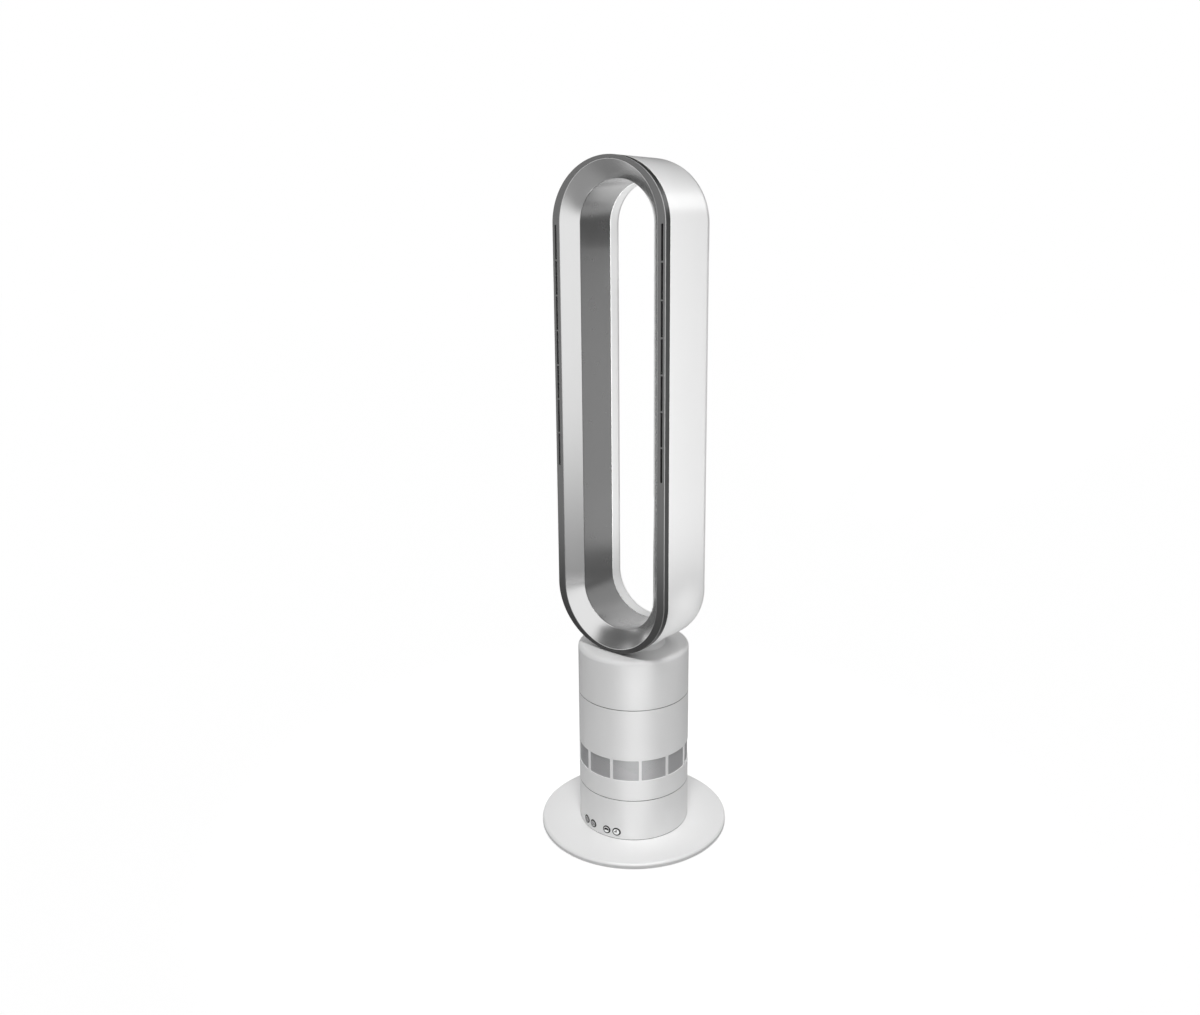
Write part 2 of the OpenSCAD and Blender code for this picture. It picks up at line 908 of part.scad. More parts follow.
impeller_bottom = shroud_bottom + blade_gap;
impeller_top = bucket_bottom - blade_gap;
plate_thickness = 2;
plate_radius = bucket_radius - blade_gap;
nose_lift = 3;
hub_flare = 4;
hub_rise = 10;
hub_run = 8;
eye_lift = 6;
plate_low = impeller_top - plate_thickness;
hub_line = [
  [nose_radius, impeller_bottom + nose_lift],
  [nose_radius + hub_flare, impeller_bottom + hub_rise],
  [plate_radius - hub_run, plate_low - nose_lift],
  [plate_radius, plate_low]
];

module impeller() {
  tip = shroud_line(-blade_gap);
  color(dark_grey)
    difference() {
      union() {
        rotate_extrude()
          polygon(concat([[0, hub_line[0][1]]], hub_line, [[plate_radius, impeller_top], [0, impeller_top]]));
        intersection() {
          translate([0, 0, impeller_bottom])
            linear_extrude(height = impeller_top - impeller_bottom)
              for (i = [0 : blade_count - 1])
                rotate([0, 0, 360 * i / blade_count])
                  blade_plan(nose_radius - over, duct_radius + over, blade_sweep_angle, blade_thickness);
          rotate_extrude()
            polygon([
              [0, impeller_bottom + eye_lift],
              [tip[1][0], impeller_bottom],
              tip[1],
              tip[2],
              [tip[2][0], impeller_top],
              [0, impeller_top]
            ]);
        }
      }
      rod(shaft_radius + running_gap / 2, 0, head_bottom);
    }
}

module diffuser() {
  low = step_height;
  high = bucket_top - bucket_flange;
  outer = duct_radius + vane_ring / 2 - fit_gap / 2;
  inner_end = bucket_radius + vane_ring / 2;
  outer_end = outer - vane_ring / 2;
  color(pale_grey) {
    tube(outer - vane_ring, outer, low, high);
    tube(bucket_radius + fit_gap / 2, bucket_radius + vane_ring, low, high);
    translate([0, 0, low])
      linear_extrude(height = high - low)
        for (i = [0 : vane_count - 1])
          rotate([0, 0, 360 * i / vane_count])
            blade_plan(inner_end, outer_end, vane_sweep_angle, vane_thickness);
  }
}

module motor_bucket() {
  seat = bearing_radius + bearing_wall;
  flange = bucket_radius + vane_ring;
  color(pale_grey)
    difference() {
      union() {
        rod(bucket_radius, bucket_bottom, bucket_top);
        rod(flange, bucket_top - bucket_flange, bucket_top);
      }
      difference() {
        rod(bucket_radius - bucket_wall, bucket_bottom + bucket_wall, bucket_top + over);
        rod(seat, bucket_bottom, bucket_bottom + bearing_height + over);
      }
      rod(bearing_radius + running_gap, bucket_bottom + bearing_lift, bucket_top + over);
      rod(shaft_radius + 2 * move_gap, bucket_bottom - over, bucket_top);
    }
}

module motor_cap() {
  seat = bearing_radius + bearing_wall;
  low = bucket_top - bearing_height;
  color(pale_grey)
    difference() {
      union() {
        rod(bucket_radius, bucket_top, bucket_top + cap_thickness);
        rod(seat, low, bucket_top + cap_thickness);
      }
      rod(bearing_radius + running_gap, low - over, low + bearing_height + over);
    }
}

module motor_bearings() {
  bore = shaft_radius + running_gap;
  low = bucket_bottom + bearing_lift;
  high = bucket_top + bearing_lift;
  color(steel) {
    tube(bore, bearing_radius, low, low + bearing_height);
    tube(bore, bearing_radius, high - bearing_height, high);
  }
}

module motor_mounts() {
  outer = bucket_radius - bucket_wall - running_gap;
  high = stator_bottom + stator_height;
  color(black) {
    tube(stator_radius + running_gap, outer, stator_bottom, stator_bottom + mount_height);
    tube(stator_radius + running_gap, outer, high - mount_height, high);
  }
}

module motor_stator() {
  yoke = 4;
  tooth = 4;
  coil = 1;
  coil_start = stator_inside + coil;
  coil_length = stator_radius - yoke - coil - coil_start;
  color(steel)
    translate([0, 0, stator_bottom])
      linear_extrude(height = stator_height)
        difference() {
          union() {
            difference() {
              circle(r = stator_radius);
              circle(r = stator_radius - yoke);
            }
            for (i = [0 : stator_teeth - 1])
              rotate([0, 0, 360 * i / stator_teeth])
                translate([0, -tooth / 2])
                  square([stator_radius - yoke / 2, tooth]);
          }
          circle(r = stator_inside);
        }
  color(copper)
    for (i = [0 : stator_teeth - 1])
      rotate([0, 0, 360 * i / stator_teeth])
        translate([coil_start, -tooth / 2 - coil, stator_bottom - coil])
          cube([coil_length, tooth + 2 * coil, stator_height + 2 * coil]);
}

module motor_shaft() {
  color(steel)
    rod(shaft_radius, impeller_bottom + nose_lift, bucket_top + bearing_lift - move_gap);
}

module motor_rotor() {
  color(black)
    tube(
      shaft_radius + running_gap / 2,
      rotor_radius,
      stator_bottom + rotor_margin,
      stator_bottom + stator_height - rotor_margin
    );
}

// Head

module head_seal() {
  outer = duct_radius + vane_ring / 2 + shroud_wall;
  color(black)
    tube(outer - shroud_wall, outer, shroud_top, head_bottom);
}

module upper_housing() {
  shoulder = body_radius - top_edge_radius;
  spigot_outer = body_inside - fit_gap;
  spigot_inner = body_inside - spigot_width;
  low = head_bottom - head_spigot_drop;
  color(white)
    difference() {
      rotate_extrude()
        union() {
          difference() {
            union() {
              translate([0, head_bottom])
                square([body_radius, body_height - top_edge_radius - head_bottom]);
              translate([0, head_bottom])
                square([shoulder, body_height - head_bottom]);
              translate([shoulder, body_height - top_edge_radius])
                circle(r = top_edge_radius);
            }
            translate([0, head_bottom - over])
              square([body_inside, body_height - top_edge_radius - head_bottom + over]);
            translate([0, head_bottom - over])
              square([shoulder, body_height - head_wall - head_bottom + over]);
            translate([shoulder, body_height - top_edge_radius])
              circle(r = top_edge_radius - head_wall);
          }
          translate([spigot_inner, low])
            square([spigot_outer - spigot_inner, head_spigot_drop + ledge_width]);
          translate([spigot_inner, head_bottom])
            square([body_inside - spigot_inner + head_wall / 2, ledge_width]);
        }
      translate([0, 0, body_height - 2 * head_wall])
        linear_extrude(height = 3 * head_wall)
          round_ended(duct_hole_half_width, duct_hole_half_depth);
    }
}

// A duct that changes from round at the bottom to a slot with round ends at the top
module funnel_form(bottom_radius, margin, low, high) {
  edge = 0.5;
  sides = 32;
  hull() {
    rod(bottom_radius, low, low + edge, $fn = sides);
    translate([0, 0, high - edge])
      linear_extrude(height = edge)
        round_ended(duct_hole_half_width + margin, duct_hole_half_depth + margin, $fn = sides);
  }
}

module air_funnel() {
  outer = duct_radius + vane_ring / 2 + shroud_wall;
  high = body_height - head_wall;
  color(pale_grey)
    difference() {
      funnel_form(outer, shroud_wall, head_bottom, high);
      funnel_form(outer - shroud_wall, 0, head_bottom - over, high + over);
    }
}

module neck_saddle() {
  high = loop_bottom + loop_end_height / 2;
  color(white)
    difference() {
      translate([0, 0, body_height])
        linear_extrude(height = high - body_height)
          difference() {
            translate([0, saddle_centre])
              round_ended(saddle_half_width, saddle_half_depth);
            round_ended(duct_hole_half_width, duct_hole_half_depth);
          }
      along_y(-loop_front - over, loop_rear + over)
        outline(outer_pair, running_gap);
    }
}

// Loop

// The white shell: outer wall, rounded rear edge and the rear of the opening, as a closed section
module rear_shell() {
  outer_centre = [loop_half_width - rear_outer_radius, loop_rear - rear_outer_radius];
  inner_centre = [opening_half_width + rear_inner_radius, loop_rear - rear_inner_radius];
  front = trim_rear + fit_gap;
  rear = dark_wall_rear + fit_gap;
  tongue = clear_of(trim_wall);
  inner_tongue = clear_of(wall_step + loop_wall);
  wall = loop_wall;
  outside = concat(
    [
      [loop_half_width - tongue, front - lap],
      [loop_half_width - tongue, front],
      [loop_half_width, front]
    ],
    bend(outer_centre, rear_outer_radius, 0, 90),
    bend(inner_centre, rear_inner_radius, 90, 180),
    [
      [opening_half_width, rear],
      [opening_half_width + inner_tongue, rear],
      [opening_half_width + inner_tongue, rear - lap]
    ]
  );
  inside = concat(
    [
      [opening_half_width + inner_tongue + wall, rear - lap],
      [opening_half_width + inner_tongue + wall, rear + wall],
      [opening_half_width + wall, rear + 2 * wall]
    ],
    bend(inner_centre, rear_inner_radius - wall, 180, 90),
    bend(outer_centre, rear_outer_radius - wall, 90, 0),
    [
      [loop_half_width - wall, front + 2 * wall],
      [loop_half_width - tongue - wall, front + wall],
      [loop_half_width - tongue - wall, front - lap]
    ]
  );
  color(white)
    difference() {
      racetrack_ring(with_ends(concat(outside, inside), outer_pair, inner_pair));
      translate([0, 0, loop_bottom - over])
        linear_extrude(height = loop_end_height / 4)
          round_ended(duct_hole_half_width, duct_hole_half_depth);
    }
}

// The dark wall inside the opening
module inner_wall() {
  color(dark_grey)
    along_y(lip_depth + fit_gap, dark_wall_rear)
      band(inner_pair, wall_step + loop_wall, inner_pair, wall_step);
}

// The silver flare from the trim's inner edge to the lip, bulging a little into the air stream
module flare_ring() {
  edge = flare_half_width - fit_gap / 2;
  start = fit_gap - loop_front;
  seat = trim_wall + lap + fit_gap - loop_front;
  steps = 8;
  rim_steps = 3;
  width = edge - opening_half_width;
  depth = lip_depth - start;
  slope = atan2(depth, width);
  function bulged(u) = [edge - width * u - flare_bulge * sin(180 * u), start + depth * u];
  face = [for (i = [0 : steps]) bulged(i / steps)];
  back = [
    for (i = [steps - 1 : -1 : rim_steps])
      bulged(i / steps) + flare_wall * [sin(slope), cos(slope)]
  ];
  section = concat(face, [[opening_half_width + flare_wall, lip_depth]], back, [[edge, seat]]);
  color(silver)
    racetrack_ring(with_ends(section, flare_pair, inner_pair));
}

// The dark front trim: a flat face with a side that wraps back, and a row of air slots down each side
module front_trim() {
  face = trim_wall - loop_front;
  color(dark_grey) {
    along_y(-loop_front, face)
      difference() {
        band(outer_pair, 0, flare_pair, 0);
        for (side = [-1, 1], i = [0 : slot_count - 1])
          translate([side * slot_centre, slot_row_top - (i + 0.5) * slot_step])
            square([slot_width, slot_step - slot_bridge], center = true);
      }
    along_y(-loop_front, trim_rear)
      band(outer_pair, 0, outer_pair, -trim_wall);
    along_y(-loop_front, face + lap)
      band(flare_pair, trim_return, flare_pair, 0);
  }
}

// A pair of tapered lips behind each row of slots, which lead the air out through them
module slot_nozzles() {
  mouth = slot_width / 2 + fit_gap;
  front = trim_wall - loop_front;
  color(dark_grey)
    for (side = [-1, 1])
      translate([side * slot_centre, 0, slot_row_top - slot_row])
        linear_extrude(height = slot_row)
          for (half = [-1, 1])
            polygon([
              [half * mouth, front],
              [half * (mouth + nozzle_wall), front],
              [half * (mouth + nozzle_wall), front + nozzle_depth],
              [half * (mouth + nozzle_wall / 2), front + nozzle_depth]
            ]);
}

foot_cover();
ballast_plate();
rubber_pads();
foot_screws();
foot_gasket();
control_housing();
pivot_plate();
pivot_screws();
glide_ring();
pivot_retainer();
button_board();
power_inlet();
power_board();
turning_motor();
pinion_shaft();
drive_pinion();
button_power();
button_speed();
button_swing();
button_timer();
turntable();
turntable_gear();
turntable_screws();
middle_housing();
intake_screen();
driver_board();
fan_shroud();
diffuser();
motor_bucket();
motor_cap();
motor_bearings();
motor_mounts();
motor_stator();
head_seal();
upper_housing();
air_funnel();
neck_saddle();
rear_shell();
slot_nozzles();
inner_wall();
flare_ring();
front_trim();
motor_shaft();
motor_rotor();
impeller();
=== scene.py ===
"""Looks of the bladeless tower fan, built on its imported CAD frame.

The loop, its trim and the round body are drawn here as fine surfaces in the place of their CAD nodes.
The pieces inside keep their CAD meshes and get procedural finishes. Lengths are in metres.
"""
import logging
import math
from collections.abc import Callable, Sequence
from dataclasses import dataclass
from enum import Enum

import bmesh
import bpy
import numpy as np
from mathutils import Matrix, Vector


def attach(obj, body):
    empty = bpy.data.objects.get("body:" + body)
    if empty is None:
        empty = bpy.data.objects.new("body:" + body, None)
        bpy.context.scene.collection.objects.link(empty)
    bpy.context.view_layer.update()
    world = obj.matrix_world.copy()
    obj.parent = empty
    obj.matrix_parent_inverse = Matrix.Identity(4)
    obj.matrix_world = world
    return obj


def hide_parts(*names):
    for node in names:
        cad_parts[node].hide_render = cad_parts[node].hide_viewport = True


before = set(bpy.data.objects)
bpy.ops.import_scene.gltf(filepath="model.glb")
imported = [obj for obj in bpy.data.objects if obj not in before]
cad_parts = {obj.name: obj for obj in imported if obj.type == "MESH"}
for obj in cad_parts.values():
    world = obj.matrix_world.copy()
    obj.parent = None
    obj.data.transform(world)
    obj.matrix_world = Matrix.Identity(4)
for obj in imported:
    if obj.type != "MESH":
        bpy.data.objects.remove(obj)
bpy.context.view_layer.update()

MM = 0.001
WELD = 2e-6
SHARP_DEGREES = 32.0
DIGITS = 9
GUARD = 1.6
FULL_TURN = 2 * math.pi
SLOT_MIDDLE = 83.6 * MM
DUCT = (36.0 * MM, 28.0 * MM)
log = logging.getLogger("fan")

Array = np.ndarray
Pair = tuple[float, float]
Triple = tuple[float, float, float]
Colour = tuple[float, float, float, float]


class Body(str, Enum):
    """Bodies of the frame that pieces ride on."""

    BASE = "base"
    HEAD = "head"
    POWER = "power_button"
    SPEED = "speed_button"
    SWING = "swing_button"
    TIMER = "timer_button"


# Shader toolkit


def opaque(colour: Sequence[float], share: float = 1.0) -> Colour:
    """A colour times a share, with full alpha."""
    red, green, blue = (min(1.0, channel * share) for channel in colour)
    return (red, green, blue, 1.0)


def grey(value: float) -> Colour:
    """A grey with full alpha."""
    return (value, value, value, 1.0)


@dataclass(frozen=True)
class Sock:
    """An output socket in a material's node tree, with arithmetic that adds Math nodes."""

    tree: bpy.types.NodeTree
    out: bpy.types.NodeSocket

    @classmethod
    def make(
        cls,
        tree: bpy.types.NodeTree,
        kind: str,
        inputs: dict[int | str, object] | None = None,
        output: int | str = 0,
        **settings: object,
    ) -> "Sock":
        """Makes any node.

        Args:
            tree: the tree that gets the node.
            kind: the node's type name, without its first part.
            inputs: its inputs by name or place, each a Sock or a constant.
            output: the output to return, by name or place.
            **settings: properties set on the node.

        Returns:
            The chosen output.
        """
        node = tree.nodes.new("ShaderNode" + kind)
        for key, value in settings.items():
            setattr(node, key, value)
        for key, value in (inputs or {}).items():
            if isinstance(value, Sock):
                tree.links.new(value.out, node.inputs[key])
            else:
                node.inputs[key].default_value = value
        return cls(tree, node.outputs[output])

    @classmethod
    def object_xyz(cls, tree: bpy.types.NodeTree) -> list["Sock"]:
        """Reads the object coordinates.

        Args:
            tree: the material's tree.

        Returns:
            Their X, Y and Z.
        """
        coords = cls.make(tree, "TexCoord", output="Object")
        split = cls.make(tree, "SeparateXYZ", {0: coords})
        return [cls(tree, out) for out in split.out.node.outputs]

    def math(self, operation: str, *others: "Sock | float") -> "Sock":
        """Applies one Math operation to this socket and the others."""
        return Sock.make(self.tree, "Math", dict(enumerate((self, *others))), operation=operation)

    def _from(self, operation: str, other: float) -> "Sock":
        """Applies a Math operation with the other operand first."""
        return Sock.make(self.tree, "Math", {0: other, 1: self}, operation=operation)

    def __add__(self, other: "Sock | float") -> "Sock":
        """This plus the other."""
        return self.math("ADD", other)

    def __radd__(self, other: float) -> "Sock":
        """The other plus this."""
        return self._from("ADD", other)

    def __sub__(self, other: "Sock | float") -> "Sock":
        """This less the other."""
        return self.math("SUBTRACT", other)

    def __rsub__(self, other: float) -> "Sock":
        """The other less this."""
        return self._from("SUBTRACT", other)

    def __mul__(self, other: "Sock | float") -> "Sock":
        """This times the other."""
        return self.math("MULTIPLY", other)

    def __rmul__(self, other: float) -> "Sock":
        """The other times this."""
        return self._from("MULTIPLY", other)

    def __truediv__(self, other: "Sock | float") -> "Sock":
        """This over the other."""
        return self.math("DIVIDE", other)

    def __rtruediv__(self, other: float) -> "Sock":
        """The other over this."""
        return self._from("DIVIDE", other)

    def size(self) -> "Sock":
        """The value without its sign."""
        return self.math("ABSOLUTE")

    def step(self, start: float, end: float) -> "Sock":
        """Runs smoothly from 0 at start to 1 at end."""
        inputs = {"Value": self, "From Min": start, "From Max": end}
        return Sock.make(self.tree, "MapRange", inputs, interpolation_type="SMOOTHSTEP", clamp=True)

    def blend(self, low: "Sock | Colour", high: "Sock | Colour") -> "Sock":
        """Mixes two colours, with this socket as the factor."""
        inputs = {"Factor": self, 6: low, 7: high}
        return Sock.make(self.tree, "Mix", inputs, 2, data_type="RGBA", clamp_factor=True)

    def shade(self, low: "Sock", high: "Sock") -> "Sock":
        """Mixes two shaders, with this socket as the factor."""
        return Sock.make(self.tree, "MixShader", {0: self, 1: low, 2: high})

    def show(self, kind: str = "OutputMaterial") -> None:
        """Links this shader to a new output node of its tree."""
        output = self.tree.nodes.new("ShaderNode" + kind)
        self.tree.links.new(self.out, output.inputs["Surface"])


def blank_tree(owner: bpy.types.Material | bpy.types.World) -> bpy.types.NodeTree:
    """Turns nodes on and empties their tree.

    Args:
        owner: the material or world.

    Returns:
        The empty tree.
    """
    owner.use_nodes = True
    owner.node_tree.nodes.clear()
    return owner.node_tree


@dataclass(frozen=True)
class Finish:
    """A finish with a soft mottle in its colour, a varying gloss and a fine grain."""

    name: str
    colour: Triple
    roughness: float = 0.45
    metallic: float = 0.0
    coat: float = 0.0
    sheen: float = 0.0
    coat_roughness: float = 0.2
    specular: float = 0.5
    mottle: float = 0.02
    mottle_scale: float = 18.0
    gloss_change: float = 0.04
    grain: float = 0.02 * MM
    grain_scale: float = 1800.0
    grain_strength: float = 0.12
    stretch: Triple = (1.0, 1.0, 1.0)

    def place(self, tree: bpy.types.NodeTree) -> Sock:
        """The object coordinates, stretched along the finish's run."""
        coords = Sock.make(tree, "TexCoord", output="Object")
        return Sock.make(tree, "VectorMath", {0: coords, 1: self.stretch}, operation="MULTIPLY")

    def noise(self, tree: bpy.types.NodeTree, scale: float, detail: float = 2.0) -> Sock:
        """Noise over the object coordinates."""
        inputs = {"Vector": self.place(tree), "Scale": scale, "Detail": detail}
        return Sock.make(tree, "TexNoise", inputs, "Fac")

    def base_colour(self, tree: bpy.types.NodeTree) -> Sock:
        """The colour with its soft mottle."""
        low, high = (opaque(self.colour, share) for share in (1 - self.mottle, 1 + self.mottle))
        return self.noise(tree, self.mottle_scale).blend(low, high)

    def material(self) -> bpy.types.Material:
        """Makes the material, once for each name.

        Returns:
            The material.
        """
        found = bpy.data.materials.get(self.name)
        if found is not None:
            return found
        material = bpy.data.materials.new(self.name)
        material.use_nodes = True
        material.diffuse_color = opaque(self.colour)
        tree = material.node_tree
        inputs = tree.nodes["Principled BSDF"].inputs
        inputs["Metallic"].default_value = self.metallic
        inputs["Coat Weight"].default_value = self.coat
        inputs["Coat Roughness"].default_value = self.coat_roughness
        inputs["Sheen Weight"].default_value = self.sheen
        inputs["Specular IOR Level"].default_value = self.specular
        gloss = (self.noise(tree, self.mottle_scale * 3) - 0.5) * (2 * self.gloss_change)
        height = self.noise(tree, self.grain_scale, 3.0)
        bump = {"Strength": self.grain_strength, "Distance": self.grain, "Height": height}
        tree.links.new(self.base_colour(tree).out, inputs["Base Color"])
        tree.links.new((gloss + self.roughness).out, inputs["Roughness"])
        tree.links.new(Sock.make(tree, "Bump", bump).out, inputs["Normal"])
        return material


class Symbol(Enum):
    """Generic signs printed on the buttons."""

    POWER = "power"
    SPEED = "speed"
    SWING = "swing"
    TIMER = "timer"


@dataclass(frozen=True)
class PrintedFinish(Finish):
    """A button's finish: a disc with a dark outline and a printed sign."""

    centre: Pair = (0.0, 0.0)
    symbol: Symbol = Symbol.POWER
    outline: float = 4.0 * MM
    ink: Triple = (0.008, 0.008, 0.008)
    soft: float = 0.12 * MM

    def band(self, value: Sock, half: float, middle: float = 0.0) -> Sock:
        """A band of a half-width about a middle value, both in mm, with soft edges."""
        off = (value - middle * MM).size()
        return 1.0 - off.step(half * MM - self.soft, half * MM + self.soft)

    def sign(self, x: Sock, z: Sock, radius: Sock) -> Sock:
        """Draws the sign with bands, whose sizes are in mm.

        Power is a ring that opens at the top for a bar. Speed is three blades, where the sine of
        three times the angle, turned on with the radius, is high. Swing is an arc along a square
        of X. Timer is two hands at right angles.

        Args:
            x: the place across from the button's middle.
            z: the height from its middle.
            radius: the distance from its middle.

        Returns:
            The mask, 1 on the sign.
        """
        match self.symbol:
            case Symbol.POWER:
                gap = self.band(x, 0.9) * z.step(0.0, 0.5 * MM)
                bar = self.band(x, 0.35) * self.band(z, 1.3, 1.7)
                return (self.band(radius, 0.35, 2.1) * (1.0 - gap)).math("MAXIMUM", bar)
            case Symbol.SPEED:
                turn = z.math("ARCTAN2", x) + radius * (0.35 / MM)
                return (turn * 3.0).math("SINE").step(0.1, 0.5) * self.band(radius, 1.1, 1.6)
            case Symbol.SWING:
                return self.band(x * x * (0.12 / MM) + z, 1.5, 1.2) * self.band(x, 3.4)
            case Symbol.TIMER:
                hand = self.band(x, 0.6) * self.band(z, 1.8, 1.1)
                return hand.math("MAXIMUM", self.band(z, 0.6) * self.band(x, 1.6, -1.0))

    def base_colour(self, tree: bpy.types.NodeTree) -> Sock:
        """Prints the outline and the sign over the disc's colour.

        Args:
            tree: the material's tree.

        Returns:
            The colour.
        """
        x, _, z = Sock.object_xyz(tree)
        x, z = x - self.centre[0], z - self.centre[1]
        radius = (x * x + z * z).math("SQRT")
        edge = radius.step(self.outline - self.soft, self.outline + self.soft)
        mask = edge.math("MAXIMUM", self.sign(x, z, radius))
        return mask.blend(super().base_colour(tree), opaque(self.ink))


@dataclass(frozen=True)
class PaintedShadeFinish(Finish):
    """A finish with painted shade: darker bands at given heights, as in the body's seams, where the
    moulded steps hide the light, and low on the foot's rim by the floor.
    """

    shade_heights: tuple[float, ...] = (65.8 * MM, 195.5 * MM)
    half: float = 0.45 * MM
    soft: float = 0.1 * MM
    shade_colour: float = 0.06

    def base_colour(self, tree: bpy.types.NodeTree) -> Sock:
        """Paints shade as a darker band at each of the given heights.

        Args:
            tree: the material's tree.

        Returns:
            The colour.
        """
        height = Sock.object_xyz(tree)[2]
        colour = super().base_colour(tree)
        # Painted shade: inside each band the colour blends towards the shade colour.
        for band_height in self.shade_heights:
            inside = (height - band_height).size().step(self.half + self.soft, self.half - self.soft)
            colour = inside.blend(colour, grey(self.shade_colour))
        return colour


@dataclass(frozen=True)
class TrimFinish(Finish):
    """The trim's satin face, with a painted highlight along its edges and painted shade on its sides, told
    apart by their depth.
    """

    highlight_colour: float = 0.22
    side_shade_colour: float = 0.032
    # line: depths of the face's edge that get the painted highlight; side: depths behind it that get
    # painted shade.
    line: Pair = (-50.38 * MM, -50.3 * MM)
    side: Pair = (-49.8 * MM, -49.4 * MM)
    slot_half: float = 2.0 * MM
    slot_soft: float = 0.2 * MM
    slot_ends: Pair = (500.0 * MM, 814.5 * MM)
    end_soft: float = 0.5 * MM

    def base_colour(self, tree: bpy.types.NodeTree) -> Sock:
        """Paints a highlight along the face's edges except round the slots, and paints shade on what is
        behind.

        Args:
            tree: the material's tree.

        Returns:
            The colour.
        """
        x, depth, z = Sock.object_xyz(tree)
        low, high = self.slot_ends
        row = z.step(low - self.end_soft, low) * z.step(high + self.end_soft, high)
        off = (x.size() - SLOT_MIDDLE).size()
        slot = off.step(self.slot_half + self.slot_soft, self.slot_half) * row
        # Painted highlight along the face's edges, kept off round the slots.
        edge = depth.step(*self.line) * (1.0 - slot)
        colour = edge.blend(super().base_colour(tree), grey(self.highlight_colour))
        # Painted shade on the sides behind the face.
        return depth.step(*self.side).blend(colour, grey(self.side_shade_colour))


@dataclass(frozen=True)
class BoardFinish(Finish):
    """A circuit board: solder mask with copper tracks under it."""

    track: Triple = (0.05, 0.22, 0.10)
    track_scale: float = 260.0
    jitter: float = 0.15
    track_edge: Pair = (0.35, 0.42)

    def base_colour(self, tree: bpy.types.NodeTree) -> Sock:
        """Lays tracks along a square maze over the mask's colour.

        Args:
            tree: the material's tree.

        Returns:
            The colour.
        """
        inputs = {"Vector": self.place(tree), "Scale": self.track_scale, "Randomness": self.jitter}
        cells = Sock.make(tree, "TexVoronoi", inputs, "Distance", distance="MANHATTAN")
        mask = cells.step(*self.track_edge)
        return mask.blend(super().base_colour(tree), opaque(self.track))


# The body's white, with painted shade as dark bands in its two seams.
WHITE = PaintedShadeFinish(
    "satin_white", (0.79,) * 3, 0.42, metallic=0.04, specular=0.8, mottle=0.008, gloss_change=0.015
)
# The foot's white: a lighter copy of the body's white that stands in for more light on the foot, with
# painted contact shade as a grey band low on the rim's side.
FOOT_WHITE = PaintedShadeFinish(
    "foot_white", (0.885,) * 3, 0.4, specular=0.4, mottle=0.008, gloss_change=0.015,
    shade_heights=(2.0 * MM,), half=2.4 * MM, soft=1.4 * MM, shade_colour=0.6,
)
# The loop's white: a lighter copy of the body's white that stands in for more light on the loop's sides.
LOOP_WHITE = Finish(
    "loop_white", (0.83,) * 3, 0.28, sheen=0.2, specular=0.45, mottle=0.006, gloss_change=0.01
)
TRIM = TrimFinish("trim_grey", (0.058,) * 3, 0.3, specular=0.35, mottle=0.02)
SILVER = Finish(
    "silver_paint", (0.76,) * 3, 0.22, metallic=0.98, mottle=0.01, gloss_change=0.015,
    grain=0.002 * MM, grain_strength=0.03,
)
DARK = Finish(
    "dark_wall", (0.18,) * 3, 0.26, metallic=0.8, coat=0.7, coat_roughness=0.25, mottle=0.01
)
DARK_INNER = Finish("dark_inner", (0.06,) * 3, 0.5)
SCREEN = Finish("screen_metal", (0.66,) * 3, 0.8, specular=0.0)
STEEL = Finish("steel", (0.55, 0.55, 0.56), 0.3, metallic=1.0, stretch=(1.0, 1.0, 12.0))
RUBBER = Finish("rubber", (0.03,) * 3, 0.75, mottle=0.1, grain=0.05 * MM)
GASKET = Finish("gasket", (0.1,) * 3, 0.6, mottle=0.05)
INNER_PLASTIC = Finish("inner_plastic", (0.42, 0.42, 0.43), 0.5)
BEARING = Finish("bearing_plastic", (0.78, 0.77, 0.74), 0.35)
INLET = Finish("inlet_plastic", (0.03,) * 3, 0.4, grain=0.04 * MM)
MAGNET = Finish("magnet", (0.09, 0.09, 0.10), 0.4, metallic=0.7, mottle=0.08)
BOARD = BoardFinish("circuit_board", (0.02, 0.12, 0.05), 0.35, coat=0.3)


# Surface toolkit


def packed(*parts: Array | Sequence[float] | float) -> Array:
    """Puts arrays or numbers of matching shapes side by side along a new last axis."""
    return np.stack(np.broadcast_arrays(*parts), axis=-1)


def circle(columns: int) -> Array:
    """The angles of evenly spaced columns round a full turn."""
    return FULL_TURN * np.arange(columns) / columns


def turned(radius: Array | float, angle: Array | float, height: Array | float) -> Array:
    """Points at a radius, an angle from +X and a height, as [..., 3]."""
    return packed(radius * np.cos(angle), radius * np.sin(angle), height)


def arc(centre: Pair, radius: float, start: float, end: float, steps: int) -> Array:
    """Points on a circle's arc, from one angle to another in degrees."""
    angle = np.radians(np.linspace(start, end, steps + 1))
    return packed(centre[0] + radius * np.cos(angle), centre[1] + radius * np.sin(angle))


def round_ended(half_width: float, half_depth: float, columns: int, centre: float = 0.0) -> Array:
    """A flat outline with round ends along X.

    Each end is half a circle of the half-depth, whose middle lies the half-width less the
    half-depth from the outline's own.

    Args:
        half_width: half its size along X.
        half_depth: half its size along Y.
        columns: the number of points.
        centre: its middle on Y.

    Returns:
        Rows of [x, y].
    """
    turn = circle(columns)
    side = (half_width - half_depth) * np.sign(np.round(np.cos(turn), DIGITS))
    return packed(side + half_depth * np.cos(turn), centre + half_depth * np.sin(turn))


def curve(start: Array, corner: Array, end: Array, share: Array) -> Array:
    """A quadratic curve: (1 - s)^2 start + 2 s (1 - s) corner + s^2 end, for each share s."""
    return (1 - share) ** 2 * start + 2 * share * (1 - share) * corner + share**2 * end


